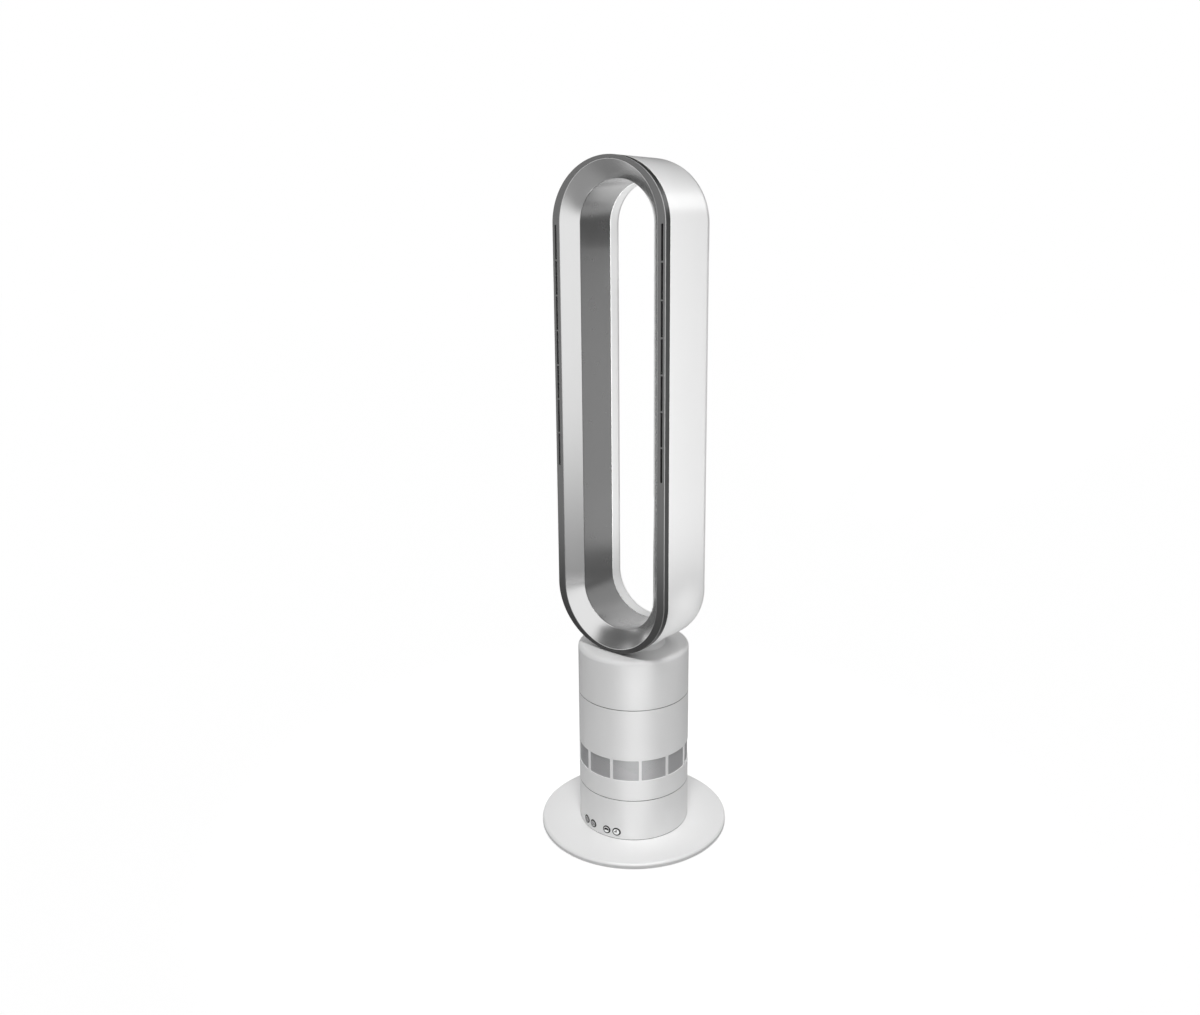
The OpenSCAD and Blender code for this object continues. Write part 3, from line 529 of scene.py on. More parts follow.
def soften(corners: Sequence[Sequence[float]], cuts: Sequence[float], steps: int = 3) -> Array:
    """Rounds the corners of a closed line.

    Each corner with a cut becomes a quadratic curve that starts and ends the cut's length from it,
    with one more point on either side, GUARD cuts away, that keeps the flats beyond it flat in shading.

    Args:
        corners: the line's corners, in any number of dimensions.
        cuts: the cut at each corner, 0 to keep it sharp.
        steps: the number of segments of each curve.

    Returns:
        The softened line.
    """
    line = np.asarray(corners, float)
    share = np.linspace(0.0, 1.0, steps + 1)[:, None]
    pieces = []
    for k, (corner, cut) in enumerate(zip(line, cuts)):
        if cut == 0:
            pieces.append(corner[None])
            continue
        before, after = line[k - 1] - corner, line[(k + 1) % len(line)] - corner
        before = before / np.linalg.norm(before) * cut
        after = after / np.linalg.norm(after) * cut
        bend = curve(corner + before, corner, corner + after, share)
        pieces += [(corner + GUARD * before)[None], bend, (corner + GUARD * after)[None]]
    return np.concatenate(pieces)


def add_object(name: str, data: bpy.types.ID) -> bpy.types.Object:
    """Makes an object and links it to the scene.

    Args:
        name: its name.
        data: its mesh, light or camera.

    Returns:
        The object.
    """
    thing = bpy.data.objects.new(name, data)
    bpy.context.scene.collection.objects.link(thing)
    return thing


class Sheet:
    """Quads gathered as whole arrays and welded into one mesh."""

    def __init__(self) -> None:
        """Starts without points."""
        self._points: list[Array] = []
        self._quads: list[Array] = []
        self._count = 0

    def grid(
        self,
        points: Array,
        close_rows: bool = False,
        close_columns: bool = False,
        drop: Array | None = None,
    ) -> "Sheet":
        """Adds a grid of quads, or many grids of one shape at once.

        Args:
            points: rows by columns by 3, or grids by rows by columns by 3.
            close_rows: whether the last row joins the first.
            close_columns: whether the last column joins the first.
            drop: true for each cell that stays open, as rows by columns.

        Returns:
            The sheet itself.
        """
        rows, columns = points.shape[-3:-1]
        row, column = np.meshgrid(
            np.arange(rows if close_rows else rows - 1),
            np.arange(columns if close_columns else columns - 1),
            indexing="ij",
        )
        here, below = row * columns, (row + 1) % rows * columns
        beside = (column + 1) % columns
        quads = packed(here + column, here + beside, below + beside, below + column)
        if drop is not None:
            quads = quads[~drop[: quads.shape[0], : quads.shape[1]]]
        points = points.reshape(-1, 3)
        offsets = np.arange(self._count, self._count + len(points), rows * columns)
        self._quads.append((quads.reshape(-1, 4) + offsets[:, None, None]).reshape(-1, 4))
        self._points.append(points)
        self._count += len(points)
        return self

    def build(self, name: str, finish: Finish) -> bpy.types.Object:
        """Welds the sheet into an object at the origin, with its normals outward.

        Args:
            name: the object's name.
            finish: its finish.

        Returns:
            The object, linked to the scene.
        """
        mesh = bpy.data.meshes.new(name)
        mesh.from_pydata(np.concatenate(self._points), [], np.concatenate(self._quads))
        edit = bmesh.new()
        edit.from_mesh(mesh)
        bmesh.ops.remove_doubles(edit, verts=edit.verts, dist=WELD)
        bmesh.ops.recalc_face_normals(edit, faces=edit.faces)
        edit.to_mesh(mesh)
        edit.free()
        mesh.polygons.foreach_set("use_smooth", np.ones(len(mesh.polygons), bool))
        mesh.set_sharp_from_angle(angle=math.radians(SHARP_DEGREES))
        mesh.materials.append(finish.material())
        return add_object(name, mesh)


class Piece:
    """Base of the sub-assemblies: puts a finished piece on its body."""

    def seat(
        self, sheet: Sheet, name: str, finish: Finish, body: Body, slot: str, *nodes: str
    ) -> None:
        """Builds a piece and rides it on a body, in the place of CAD nodes.

        Args:
            sheet: the piece's surface.
            name: the piece's name.
            finish: its finish.
            body: the body that it rides on.
            slot: the record's material slot; not used.
            *nodes: the CAD nodes that it stands for.
        """
        thing = sheet.build(name, finish)
        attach(thing, body.value)
        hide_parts(*nodes)
        log.info("%s on %s, %d faces", thing.name, body.value, len(thing.data.polygons))


# Loop


@dataclass(frozen=True)
class Racetrack(Piece):
    """The loop's line: two half ellipses joined by straights.

    Attributes:
        low: height where the straights start.
        high: height where they end.
        outer: half-width and end height of the loop's outside.
        flare: the same of the flare's front edge.
        inner: the same of the opening.
        steps: segments of each half ellipse.
        hold: distance from the ends of the straights to their first stations.
    """

    low: float = 343.9 * MM
    high: float = 813.9 * MM
    outer: Pair = (89.0 * MM, 80.3 * MM)
    flare: Pair = (77.2 * MM, 75.7 * MM)
    inner: Pair = (57.8 * MM, 53.1 * MM)
    steps: int = 120
    hold: float = 3.0 * MM

    def stations(self, heights: Sequence[float] = ()) -> Array:
        """Stations round the line, as rows of [share across, share up, base height].

        Round each half ellipse the shares are the cosine and sine of half a turn in even steps, on a
        base at the end of the straights. Along the straights they are 1 or -1 and 0.

        Args:
            heights: more heights on the straights that get a station.

        Returns:
            The stations, from the right side over the crown and down the left side.
        """
        turn = np.linspace(0.0, math.pi, self.steps + 1)
        down = np.array(sorted({self.high - self.hold, self.low + self.hold, *heights}))[::-1]
        crown = packed(np.cos(turn), np.sin(turn), self.high)
        foot = packed(-np.cos(turn), -np.sin(turn), self.low)
        return np.concatenate([crown, packed(-1.0, 0.0, down), foot, packed(1.0, 0.0, down[::-1])])

    @staticmethod
    def carry(section: Array, stations: Array) -> Array:
        """Carries a section round the line.

        Each point lies at the section's half-width times the share across, and at the base height
        plus the section's end height times the share up.

        Args:
            section: rows of [half-width, end height, depth].
            stations: rows from stations().

        Returns:
            Points as section by stations by 3.
        """
        width, end, depth = (section[:, None, k] for k in range(3))
        return packed(width * stations[:, 0], depth, stations[:, 2] + end * stations[:, 1])

    def sweep(self, section: Array) -> Sheet:
        """A closed section carried round the whole line."""
        return Sheet().grid(self.carry(section, self.stations()), True, True)

    @staticmethod
    def with_ends(line: Array, pair: Pair, other: Pair) -> Array:
        """Adds the end heights to rows of [half-width, depth], along the line through two pairs."""
        ends = pair[1] + (line[:, 0] - pair[0]) * (other[1] - pair[1]) / (other[0] - pair[0])
        return packed(line[:, 0], ends, line[:, 1])


@dataclass(frozen=True)
class LoopShell(Racetrack):
    """The white shell: outside, rounded rear edge and the rear of the opening."""

    front: float = -41.0 * MM
    rear: float = 51.0 * MM
    outer_radius: float = 17.94 * MM
    inner_radius: float = 12.01 * MM
    wall: float = 2.0 * MM
    dark_rear: float = 26.8 * MM
    tongue: float = 2.5 * MM
    inner_tongue: float = 3.0 * MM
    lap: float = 2.5 * MM
    edge: float = 0.35 * MM
    bend_steps: int = 28

    def build(self) -> None:
        """Builds the shell.

        The section runs from the trim's tongue round the rear edge to the dark wall's tongue, and
        back inside at the wall's thickness, with arcs of one middle for both sides of each bend.
        """
        wall, front, mid, steps = self.wall, self.front, self.dark_rear, self.bend_steps
        side, mouth = self.outer[0], self.inner[0]
        tongue, far = side - self.tongue, mouth + self.inner_tongue
        outer = (side - self.outer_radius, self.rear - self.outer_radius)
        inner = (mouth + self.inner_radius, self.rear - self.inner_radius)
        parts = [
            [(tongue, front - self.lap), (tongue, front), (side, front)],
            arc(outer, self.outer_radius, 0, 90, steps),
            arc(inner, self.inner_radius, 90, 180, steps),
            [(mouth, mid), (far, mid), (far, mid - self.lap)],
            [(far + wall, mid - self.lap), (far + wall, mid + wall), (mouth + wall, mid + 2 * wall)],
            arc(inner, self.inner_radius - wall, 180, 90, steps),
            arc(outer, self.outer_radius - wall, 90, 0, steps),
            [(side - wall, front + 2 * wall), (tongue - wall, front + wall)],
            [(tongue - wall, front - self.lap)],
        ]
        line = np.concatenate(parts)
        cuts = np.zeros(len(line))
        cuts[2] = cuts[sum(map(len, parts[:3]))] = self.edge
        section = self.with_ends(soften(line, cuts), self.outer, self.inner)
        self.seat(
            self.sweep(section), "loop_shell", LOOP_WHITE, Body.HEAD, "white_plastic", "rear_shell"
        )


@dataclass(frozen=True)
class Trim(Racetrack):
    """The dark front trim with its rows of slots."""

    face: float = -50.4 * MM
    wall: float = 2.0 * MM
    rear: float = -41.2 * MM
    rear_edge: float = 0.25 * MM
    inner_rear: float = -45.9 * MM
    inner_wall: float = 1.2 * MM
    edge: float = 1.1 * MM
    inner_edge: float = 0.35 * MM
    slot_half: float = 1.5 * MM
    slot_count: int = 7
    slot_row: float = 310.0 * MM
    bridge: float = 2.2 * MM
    lip: float = 0.3 * MM

    @property
    def slots(self) -> Array:
        """Low and high end of each slot, in even steps down from the top of the straights.

        Returns:
            Rows of [low, high].
        """
        step = self.slot_row / self.slot_count
        middle = self.high - (np.arange(self.slot_count) + 0.5) * step
        half = (step - self.bridge) / 2
        return packed(middle - half, middle + half)

    def build(self) -> None:
        """Builds the trim, with each slot cut through as one cell of its grid.

        The section's end heights lie along the line from the flare's edge to the outside. A cell
        stays open where its middle lies at the slots' half-width and between a slot's two ends.
        """
        (a, b), (fa, fb) = self.outer, self.flare
        wide, narrow = self.slot_half + self.lip, self.slot_half
        back, wall, inner = self.face + self.wall, self.wall, self.inner_wall

        def on_face(place: float, depth: float) -> Triple:
            """A point in the straight line from the flare's edge to the outside, at a depth."""
            return (place, fb + (place - fa) * (b - fb) / (a - fa), depth)

        corners = [
            (a, b, self.rear),
            (a, b, self.face),
            on_face(SLOT_MIDDLE + wide, self.face),
            on_face(SLOT_MIDDLE - wide, self.face),
            (fa, fb, self.face),
            (fa, fb, self.inner_rear),
            (fa + inner, fb + inner, self.inner_rear),
            (fa + inner, fb + inner, back),
            on_face(SLOT_MIDDLE - narrow, back),
            on_face(SLOT_MIDDLE + narrow, back),
            (a - wall, b - wall, back),
            (a - wall, b - wall, self.rear),
        ]
        cuts = np.zeros(len(corners))
        cuts[0], cuts[1], cuts[4] = self.rear_edge, self.edge, self.inner_edge
        section = soften(corners, cuts, 4)
        lines = self.slots + np.array([-self.lip, self.lip])
        stations = self.stations(lines.ravel())
        points = self.carry(section, stations)
        on_straight = np.abs(stations[:, 1]) < 1e-9
        middle = (stations[:, 2] + np.roll(stations[:, 2], -1)) / 2
        inside = (middle[:, None] > lines[:, 0]) & (middle[:, None] < lines[:, 1])
        slot_cells = inside.any(axis=1) & on_straight & np.roll(on_straight, -1)
        place, _, depth = ((section + np.roll(section, -1, axis=0)) / 2).T
        flat = np.isclose(depth, self.face) | np.isclose(depth, back)
        drop = np.zeros(points.shape[:2], bool)
        drop[np.ix_(flat & np.isclose(place, SLOT_MIDDLE), slot_cells)] = True
        sheet = Sheet().grid(points, True, True, drop)
        for side in (-1.0, 1.0):
            for low, high in self.slots:
                sheet.grid(self.slot_walls(side, low, high, back), close_columns=True)
        self.seat(sheet, "front_trim_ring", TRIM, Body.HEAD, "trim_plastic", "front_trim")

    def slot_walls(self, side: float, low: float, high: float, back: float) -> Array:
        """The walls of one slot, from its widened mouth to the back of the trim.

        Args:
            side: -1 for the left row, 1 for the right.
            low: the slot's low end.
            high: its high end.
            back: depth of the trim's back.

        Returns:
            Points as rings by corners by 3.
        """
        reach = np.array([1.0, -1.0, -1.0, 1.0])
        upper = np.array([False, False, True, True])
        rings = (
            (self.lip, self.lip, self.face),
            (0.0, 0.0, self.face + self.lip),
            (0.0, self.lip, back),
        )
        return np.stack(
            [
                packed(
                    side * (SLOT_MIDDLE + reach * (self.slot_half + grow)),
                    depth,
                    np.where(upper, high + tall, low - tall),
                )
                for grow, tall, depth in rings
            ]
        )


@dataclass(frozen=True)
class Flare(Racetrack):
    """The silver flare, bulging a little into the air stream, with a rolled lip.

    Attributes:
        edge: half-width at the front.
        start: depth at the front.
        lip: depth of the rolled lip.
        bulge: how far the face's middle stands in.
        wall: thickness.
        seat_depth: depth of the front edge's back.
        steps_across: segments of the face.
        first: share of the face at which its second point lies, to leave room for the edge's bend.
        last: share at which its last but one lies, to leave room for the lip's bend.
        bare: how many of the face's points have no back, at the edge and at the lip.
        cuts: the bends' cuts at the edge and the lip.
    """

    edge: float = 77.1 * MM
    start: float = -50.2 * MM
    lip: float = -32.1 * MM
    bulge: float = 1.2 * MM
    wall: float = 1.8 * MM
    seat_depth: float = -45.7 * MM
    steps_across: int = 28
    first: float = 0.08
    last: float = 0.9
    bare: tuple[int, int] = (7, 3)
    cuts: Pair = (0.7 * MM, 1.1 * MM)

    def build(self) -> None:
        """Builds the flare.

        The face runs straight from the trim's inner edge to the lip, less the bulge times the sine
        of half a turn over its length. The back runs the other way, and not as far.
        """
        width, depth = self.edge - self.inner[0], self.lip - self.start
        inner = np.linspace(self.first, self.last, self.steps_across - 1)
        share = np.concatenate([[0.0], inner, [1.0]])
        bulge = self.bulge * np.sin(math.pi * share)
        face = packed(self.edge - width * share - bulge, self.start + depth * share)
        slope = math.atan2(depth, width)
        away = self.wall * np.array([math.sin(slope), math.cos(slope)])
        back = face[self.bare[0] : len(face) - self.bare[1]][::-1] + away
        rim = [(self.inner[0] + self.wall, self.lip)]
        line = np.concatenate([face, rim, back, [(self.edge, self.seat_depth)]])
        cuts = np.zeros(len(line))
        cuts[0], cuts[self.steps_across] = self.cuts
        section = self.with_ends(soften(line, cuts, 4), self.flare, self.inner)
        self.seat(self.sweep(section), "flare_band", SILVER, Body.HEAD, "silver_finish", "flare_ring")


@dataclass(frozen=True)
class DarkWall(Racetrack):
    """The dark wall inside the opening."""

    front: float = -31.9 * MM
    rear: float = 26.6 * MM
    step: float = 0.4 * MM
    wall: float = 2.0 * MM
    edge: float = 0.3 * MM

    def build(self) -> None:
        """Builds the wall as a straight band, a step and then a wall's thickness off the opening."""
        near = [size + self.step for size in self.inner]
        far = [size + self.wall for size in near]
        corners = [(*near, self.front), (*near, self.rear), (*far, self.rear), (*far, self.front)]
        section = soften(corners, [self.edge, self.edge, 0, 0])
        self.seat(self.sweep(section), "opening_wall", DARK, Body.HEAD, "dark_plastic", "inner_wall")


@dataclass(frozen=True)
class Neck(Racetrack):
    """The saddle between the body's top and the loop, hollowed into a smooth blend."""

    cap: float = 263.0 * MM
    half_width: float = 41.5 * MM
    half_depth: float = 38.7 * MM
    centre: float = 0.3 * MM
    rear: float = 51.0 * MM
    bend: float = 17.94 * MM
    spread: float = 2.2 * MM
    hollow: float = 2.0 * MM
    waist: float = 0.35
    sink: float = 0.05 * MM
    overlap: float = 0.1 * MM
    columns: int = 192
    rows: int = 10

    def underside(self, plan: Array) -> Array:
        """Height of the shell's outside over a plan.

        The shell's half-width and end height shrink along the rear bend, and the height is the low
        arc's base less the end height times the circle's drop at that share of the width.

        Args:
            plan: rows of [x, y].

        Returns:
            The heights.
        """
        past = np.clip(plan[:, 1] - (self.rear - self.bend), 0.0, self.bend)
        inset = self.bend - np.sqrt(self.bend**2 - past**2)
        half = self.outer[0] - inset
        slope = (self.outer[1] - self.inner[1]) / (self.outer[0] - self.inner[0])
        end = self.outer[1] - inset * slope
        return self.low - end * np.sqrt(1 - np.clip(np.abs(plan[:, 0]) / half, 0, 1) ** 2)

    def build(self) -> None:
        """Builds the neck, with a straight duct inside.

        Its outside is a quadratic curve up from a spread foot on the cap, drawn in towards the
        waist, to a head under the shell.
        """
        outline = round_ended(self.half_width, self.half_depth, self.columns, self.centre)
        away = outline - np.array([0.0, self.centre])
        away = away / np.linalg.norm(away, axis=1, keepdims=True)
        head = outline + 0.5 * self.spread * away
        foot_z = np.full(self.columns, self.cap - self.sink)
        head_z = self.underside(head) + self.overlap
        waist_z = foot_z + self.waist * (head_z - foot_z)
        sweep = curve(
            np.column_stack([outline + self.spread * away, foot_z]),
            np.column_stack([outline - self.hollow * away, waist_z]),
            np.column_stack([head, head_z]),
            np.linspace(0.0, 1.0, self.rows + 1)[:, None, None],
        )
        duct = round_ended(*DUCT, self.columns)
        inside = [np.column_stack([duct, z]) for z in (self.underside(duct) + self.overlap, foot_z)]
        sheet = Sheet().grid(np.concatenate([sweep, inside]), True, True)
        self.seat(sheet, "neck_blend", WHITE, Body.HEAD, "white_plastic", "neck_saddle")


# Round body


@dataclass(frozen=True)
class Opening:
    """A hole through a turned wall, drawn in the plane of a place across and a height.

    Attributes:
        columns: places across of the grid's lines over the patch round the hole.
        first: index of the patch's first column.
        centre: the hole's middle, as place across and height.
        half: half sizes of the hole.
        corner: radius of its corners.
        low: lowest height of the patch.
        high: highest height of the patch.
        place: turns places across, a radius and heights into points.
    """

    columns: Array
    first: int
    centre: Pair
    half: Pair
    corner: float
    low: float
    high: float
    place: Callable[[Array, float, Array], Array]

    def edge(self, border: Array, grow: float) -> Array:
        """The hole's outline, with one point for each of the border's.

        A border point is scaled to the hole's half sizes. What of it lies past the core between the
        corners' middles is given the corners' radius as its length.

        Args:
            border: the patch's border, as rows of [place, height].
            grow: the length by which the hole grows.

        Returns:
            Rows of [place, height].
        """
        half = np.array(self.half) + grow
        corner = self.corner + grow
        span = np.array([np.ptp(self.columns), self.high - self.low]) / 2
        middle = np.array([self.columns[[0, -1]].mean(), (self.low + self.high) / 2])
        inner = (border - middle) / span * half
        core = np.clip(inner, corner - half, half - corner)
        reach = inner - core
        return self.centre + core + corner * reach / np.linalg.norm(reach, axis=1, keepdims=True)

    def surface(self, heights: Array, outer: float, inner: float, lip: float) -> Array:
        """The patch round the hole, its wall and the patch behind, as one grid of rings.

        Args:
            heights: heights of the grid's lines over the patch.
            outer: the wall's outside radius.
            inner: the wall's inside radius.
            lip: the size of the rounded edge.

        Returns:
            Points as rings by border points by 3.
        """
        across, up = self.columns, heights
        border = np.concatenate(
            [
                packed(across, up[0]),
                packed(across[-1], up[1:]),
                packed(across[-2::-1], up[-1]),
                packed(across[0], up[-2:0:-1]),
            ]
        )
        wide, hole = self.edge(border, lip), self.edge(border, 0.0)
        rings = [(border + (wide - border) * share, outer) for share in (0.0, 0.5, 0.8, 0.95, 1.0)]
        rings += [(hole + (wide - hole) * 0.3, outer - 0.3 * lip), (hole, outer - lip), (hole, inner)]
        rings += [(hole + (border - hole) * share, inner) for share in (0.3, 1.0)]
        return np.stack([self.place(ring[:, 0], radius, ring[:, 1]) for ring, radius in rings])


@dataclass(frozen=True)
class TurnedWall(Piece):
    """A turned piece with openings through its wall."""

    outer: float = 75.0 * MM
    lip: float = 0.3 * MM
    seam_edge: float = 0.35 * MM

    def turn(
        self,
        profile: Array,
        angles: Callable[[float], Array],
        openings: Sequence[Opening] = (),
        inner: float = 0.0,
        closed: bool = True,
    ) -> Sheet:
        """Turns a profile about the axis and opens its wall.

        Args:
            profile: rows of [radius, height].
            angles: gives the columns' angles at a radius.
            openings: the holes, which need the profile's points at the same heights outside and inside.
            inner: the wall's inside radius at the openings.
            closed: whether the profile's last point joins its first.

        Returns:
            The sheet.
        """
        points = np.stack([turned(radius, angles(radius), height) for radius, height in profile])
        drop = np.zeros(points.shape[:2], bool)
        radius, height = ((profile + np.roll(profile, -1, axis=0)) / 2).T
        wall = np.isclose(radius, self.outer) | np.isclose(radius, inner)
        outside = profile[np.isclose(profile[:, 0], self.outer), 1]
        sheet = Sheet()
        for hole in openings:
            rows = wall & (height > hole.low) & (height < hole.high)
            drop[np.ix_(rows, np.arange(hole.first, hole.first + len(hole.columns) - 1))] = True
            lines = outside[(outside > hole.low - WELD) & (outside < hole.high + WELD)]
            lines = np.unique(np.round(lines, DIGITS))
            sheet.grid(hole.surface(lines, self.outer, inner, self.lip), close_columns=True)
        return sheet.grid(points, closed, True, drop)


@dataclass(frozen=True)
class MiddleHousing(TurnedWall):
    """The turning part of the body, with its band of windows.

    Attributes:
        groove: radius, low and high end of the screen's groove.
        flange: the same of the flange on the turntable.
        ledges: the same of the two ledges above the windows.
    """

    bottom: float = 66.2 * MM
    top: float = 195.1 * MM
    inner: float = 72.5 * MM
    groove: Triple = (73.7 * MM, 92.5 * MM, 126.3 * MM)
    flange: Triple = (60.5 * MM, 69.6 * MM, 72.1 * MM)
    ledges: tuple[Triple, ...] = (
        (69.0 * MM, 127.3 * MM, 129.3 * MM),
        (69.0 * MM, 186.9 * MM, 188.9 * MM),
    )
    count: int = 12
    window_low: float = 95.0 * MM
    window_high: float = 123.8 * MM
    rib: float = 4.0 * MM
    corner: float = 0.8 * MM
    margin: float = 1.7 * MM
    across: int = 24
    lines: int = 17

    def shelf(self, radius: float, low: float, high: float) -> list[Pair]:
        """The corners of a ring or groove on the inside, from its low end to its high end."""
        return [(self.inner, low), (radius, low), (radius, high), (self.inner, high)]

    def build(self) -> None:
        """Builds the housing with its flange, ledges, groove and windows."""
        low, high = self.window_low - self.margin, self.window_high + self.margin
        heights = np.linspace(low, high, self.lines)
        groove = self.shelf(*self.groove)
        ledges = [corner for ledge in self.ledges for corner in self.shelf(*ledge)]
        line = np.concatenate(
            [
                [(self.inner, self.bottom), *self.shelf(*self.flange), *groove[:2]],
                packed(self.groove[0], heights),
                [*groove[2:], *ledges, (self.inner, self.top), (self.outer, self.top)],
                packed(self.outer, heights[::-1]),
                [(self.outer, self.bottom)],
            ]
        )
        cuts = np.zeros(len(line))
        cuts[-1] = cuts[-2 - self.lines] = self.seam_edge
        step = FULL_TURN / self.count
        start = -math.pi / 2 - step / 2
        columns = start + circle(self.count * self.across)
        middle = (self.window_low + self.window_high) / 2
        half = ((step / 2) * self.outer - self.rib / 2, (self.window_high - self.window_low) / 2)
        openings = [
            Opening(
                np.linspace(k * step, (k + 1) * step, self.across + 1) * self.outer,
                k * self.across,
                ((k + 0.5) * step * self.outer, middle),
                half,
                self.corner,
                low,
                high,
                lambda place, radius, height: turned(radius, start + place / self.outer, height),
            )
            for k in range(self.count)
        ]
        sheet = self.turn(soften(line, cuts), lambda radius: columns, openings, self.groove[0])
        self.seat(sheet, "middle_shell", WHITE, Body.HEAD, "white_plastic", "middle_housing")


@dataclass(frozen=True)
class LowerHousing(TurnedWall):
    """The fixed part of the body, with its button holes and inlet opening."""

    bottom: float = 8.8 * MM
    foot_edge: float = 0.5 * MM
    top: float = 65.4 * MM
    inner: float = 72.5 * MM
    floor: float = 11.3 * MM
    button_x: tuple[float, ...] = (-25.8 * MM, -11.7 * MM, 11.7 * MM, 25.8 * MM)
    button_z: float = 18.5 * MM
    hole: float = 5.7 * MM
    patch: float = 6.9 * MM
    inlet_z: float = 30.0 * MM
    inlet_half: Pair = (12.1 * MM, 7.1 * MM)
    inlet_corner: float = 0.6 * MM
    inlet_patch: float = 14.5 * MM
    inlet_lowest: float = 20.8 * MM
    inlet_highest: float = 39.0 * MM
    cells: int = 12
    sides: int = 48
    posts: int = 4
    post_circle: float = 48.0 * MM
    post_radius: float = 5.0 * MM
    post_sink: float = 1.0 * MM
    post_top: float = 56.0 * MM
    post_columns: int = 24

    @staticmethod
    def on_wall(side: float) -> Callable[[Array, float, Array], Array]:
        """Gives the function that places points by their X, on the front (-1) or the rear (1)."""
        return lambda x, radius, height: packed(x, side * np.sqrt(radius**2 - x**2), height)

    def build(self) -> None:
        """Builds the housing, with its columns laid by their X where the holes are."""
        cells = self.cells
        patches = [np.linspace(x - self.patch, x + self.patch, cells + 1) for x in self.button_x]
        front = np.concatenate(patches)
        rear = np.linspace(self.inlet_patch, -self.inlet_patch, 2 * cells + 1)

        def angles(radius: float) -> Array:
            """Angles of the columns: button patches, right side, inlet's patch and left side.

            At the patches they are the arcsines of X over the radius, and between them even steps.

            Args:
                radius: the radius, where a small one counts as the wall's inside.

            Returns:
                The angles.
            """
            reach = max(radius, self.inner)
            near = np.arcsin(front / reach) - math.pi / 2
            far = math.pi / 2 - np.arcsin(rear / reach)
            right = np.linspace(near[-1], far[0], self.sides + 1)[1:-1]
            left = np.linspace(far[-1], near[0] + FULL_TURN, self.sides + 1)[1:-1]
            return np.concatenate([near, right, far, left])

        low, high = self.button_z - self.patch, self.button_z + self.patch
        spans = ((low, high), (high, self.inlet_highest))
        lines = np.concatenate([np.linspace(*span, cells + 1) for span in spans])
        lines = np.unique(np.round(lines, DIGITS))
        line = np.concatenate(
            [
                [(0.0, self.bottom), (self.outer, self.bottom)],
                packed(self.outer, lines),
                [(self.outer, self.top), (self.inner, self.top)],
                packed(self.inner, lines[::-1]),
                [(self.inner, self.floor), (0.0, self.floor)],
            ]
        )
        cuts = np.zeros(len(line))
        cuts[1], cuts[2 + len(lines)] = self.foot_edge, self.seam_edge
        half = (self.hole, self.hole)
        openings = [
            Opening(
                places, k * (cells + 1), (x, self.button_z), half, self.hole, low, high, self.on_wall(-1.0)
            )
            for k, (x, places) in enumerate(zip(self.button_x, patches))
        ]
        openings.append(
            Opening(
                rear,
                len(front) + self.sides - 1,
                (0.0, self.inlet_z),
                self.inlet_half,
                self.inlet_corner,
                lines[lines > self.inlet_lowest][0],
                self.inlet_highest,
                self.on_wall(1.0),
            )
        )
        sheet = self.turn(soften(line, cuts), angles, openings, self.inner, closed=False)
        foot, turn = self.floor - self.post_sink, circle(self.post_columns)
        radii = np.array([0.0, self.post_radius, self.post_radius, 0.0])[:, None]
        heights = np.array([foot, foot, self.post_top, self.post_top])[:, None]
        for angle in circle(self.posts) + FULL_TURN / (2 * self.posts):
            centre = turned(self.post_circle, angle, 0.0)
            sheet.grid(turned(radii, turn, heights) + centre, close_columns=True)
        self.seat(sheet, "lower_shell", WHITE, Body.BASE, "white_plastic", "control_housing")


@dataclass(frozen=True)
class UpperHousing(TurnedWall):
    """The top of the body, with its flat cap, rounded edge and the duct's hole."""

    bottom: float = 195.9 * MM
    top: float = 263.0 * MM
    wall: float = 2.5 * MM
    radius: float = 6.0 * MM
    spigot: Pair = (72.3 * MM, 70.0 * MM)
    spigot_low: float = 188.9 * MM
    ledge: float = 199.4 * MM
    columns: int = 192
    bend_steps: tuple[int, int] = (20, 12)
    rim_share: float = 0.08

    def build(self) -> None:
        """Builds the housing; the cap's rings change from the duct's outline to the round edge."""
        centre = (self.outer - self.radius, self.top - self.radius)
        outside = arc(centre, self.radius, 90, 0, self.bend_steps[0])
        inside = arc(centre, self.radius - self.wall, 0, 90, self.bend_steps[1])
        out, within = self.spigot
        line = np.concatenate(
            [
                outside,
                [(self.outer, self.bottom), (out, self.bottom), (out, self.spigot_low)],
                [(within, self.spigot_low), (within, self.ledge), (self.outer - self.wall, self.ledge)],
                inside,
            ]
        )
        cuts = np.zeros(len(line))
        cuts[len(outside)] = self.seam_edge
        turn = circle(self.columns)
        points = np.stack([turned(radius, turn, height) for radius, height in soften(line, cuts)])
        duct = np.column_stack([round_ended(*DUCT, self.columns), np.zeros(self.columns)])
        up, down = np.array([0, 0, self.top]), np.array([0, 0, self.top - self.wall])
        rim = points[0] + (duct + up - points[0]) * self.rim_share
        sheet = Sheet().grid(np.concatenate([[duct + up], [rim], points, [duct + down]]), True, True)
        self.seat(sheet, "upper_shell", WHITE, Body.HEAD, "white_plastic", "upper_housing")


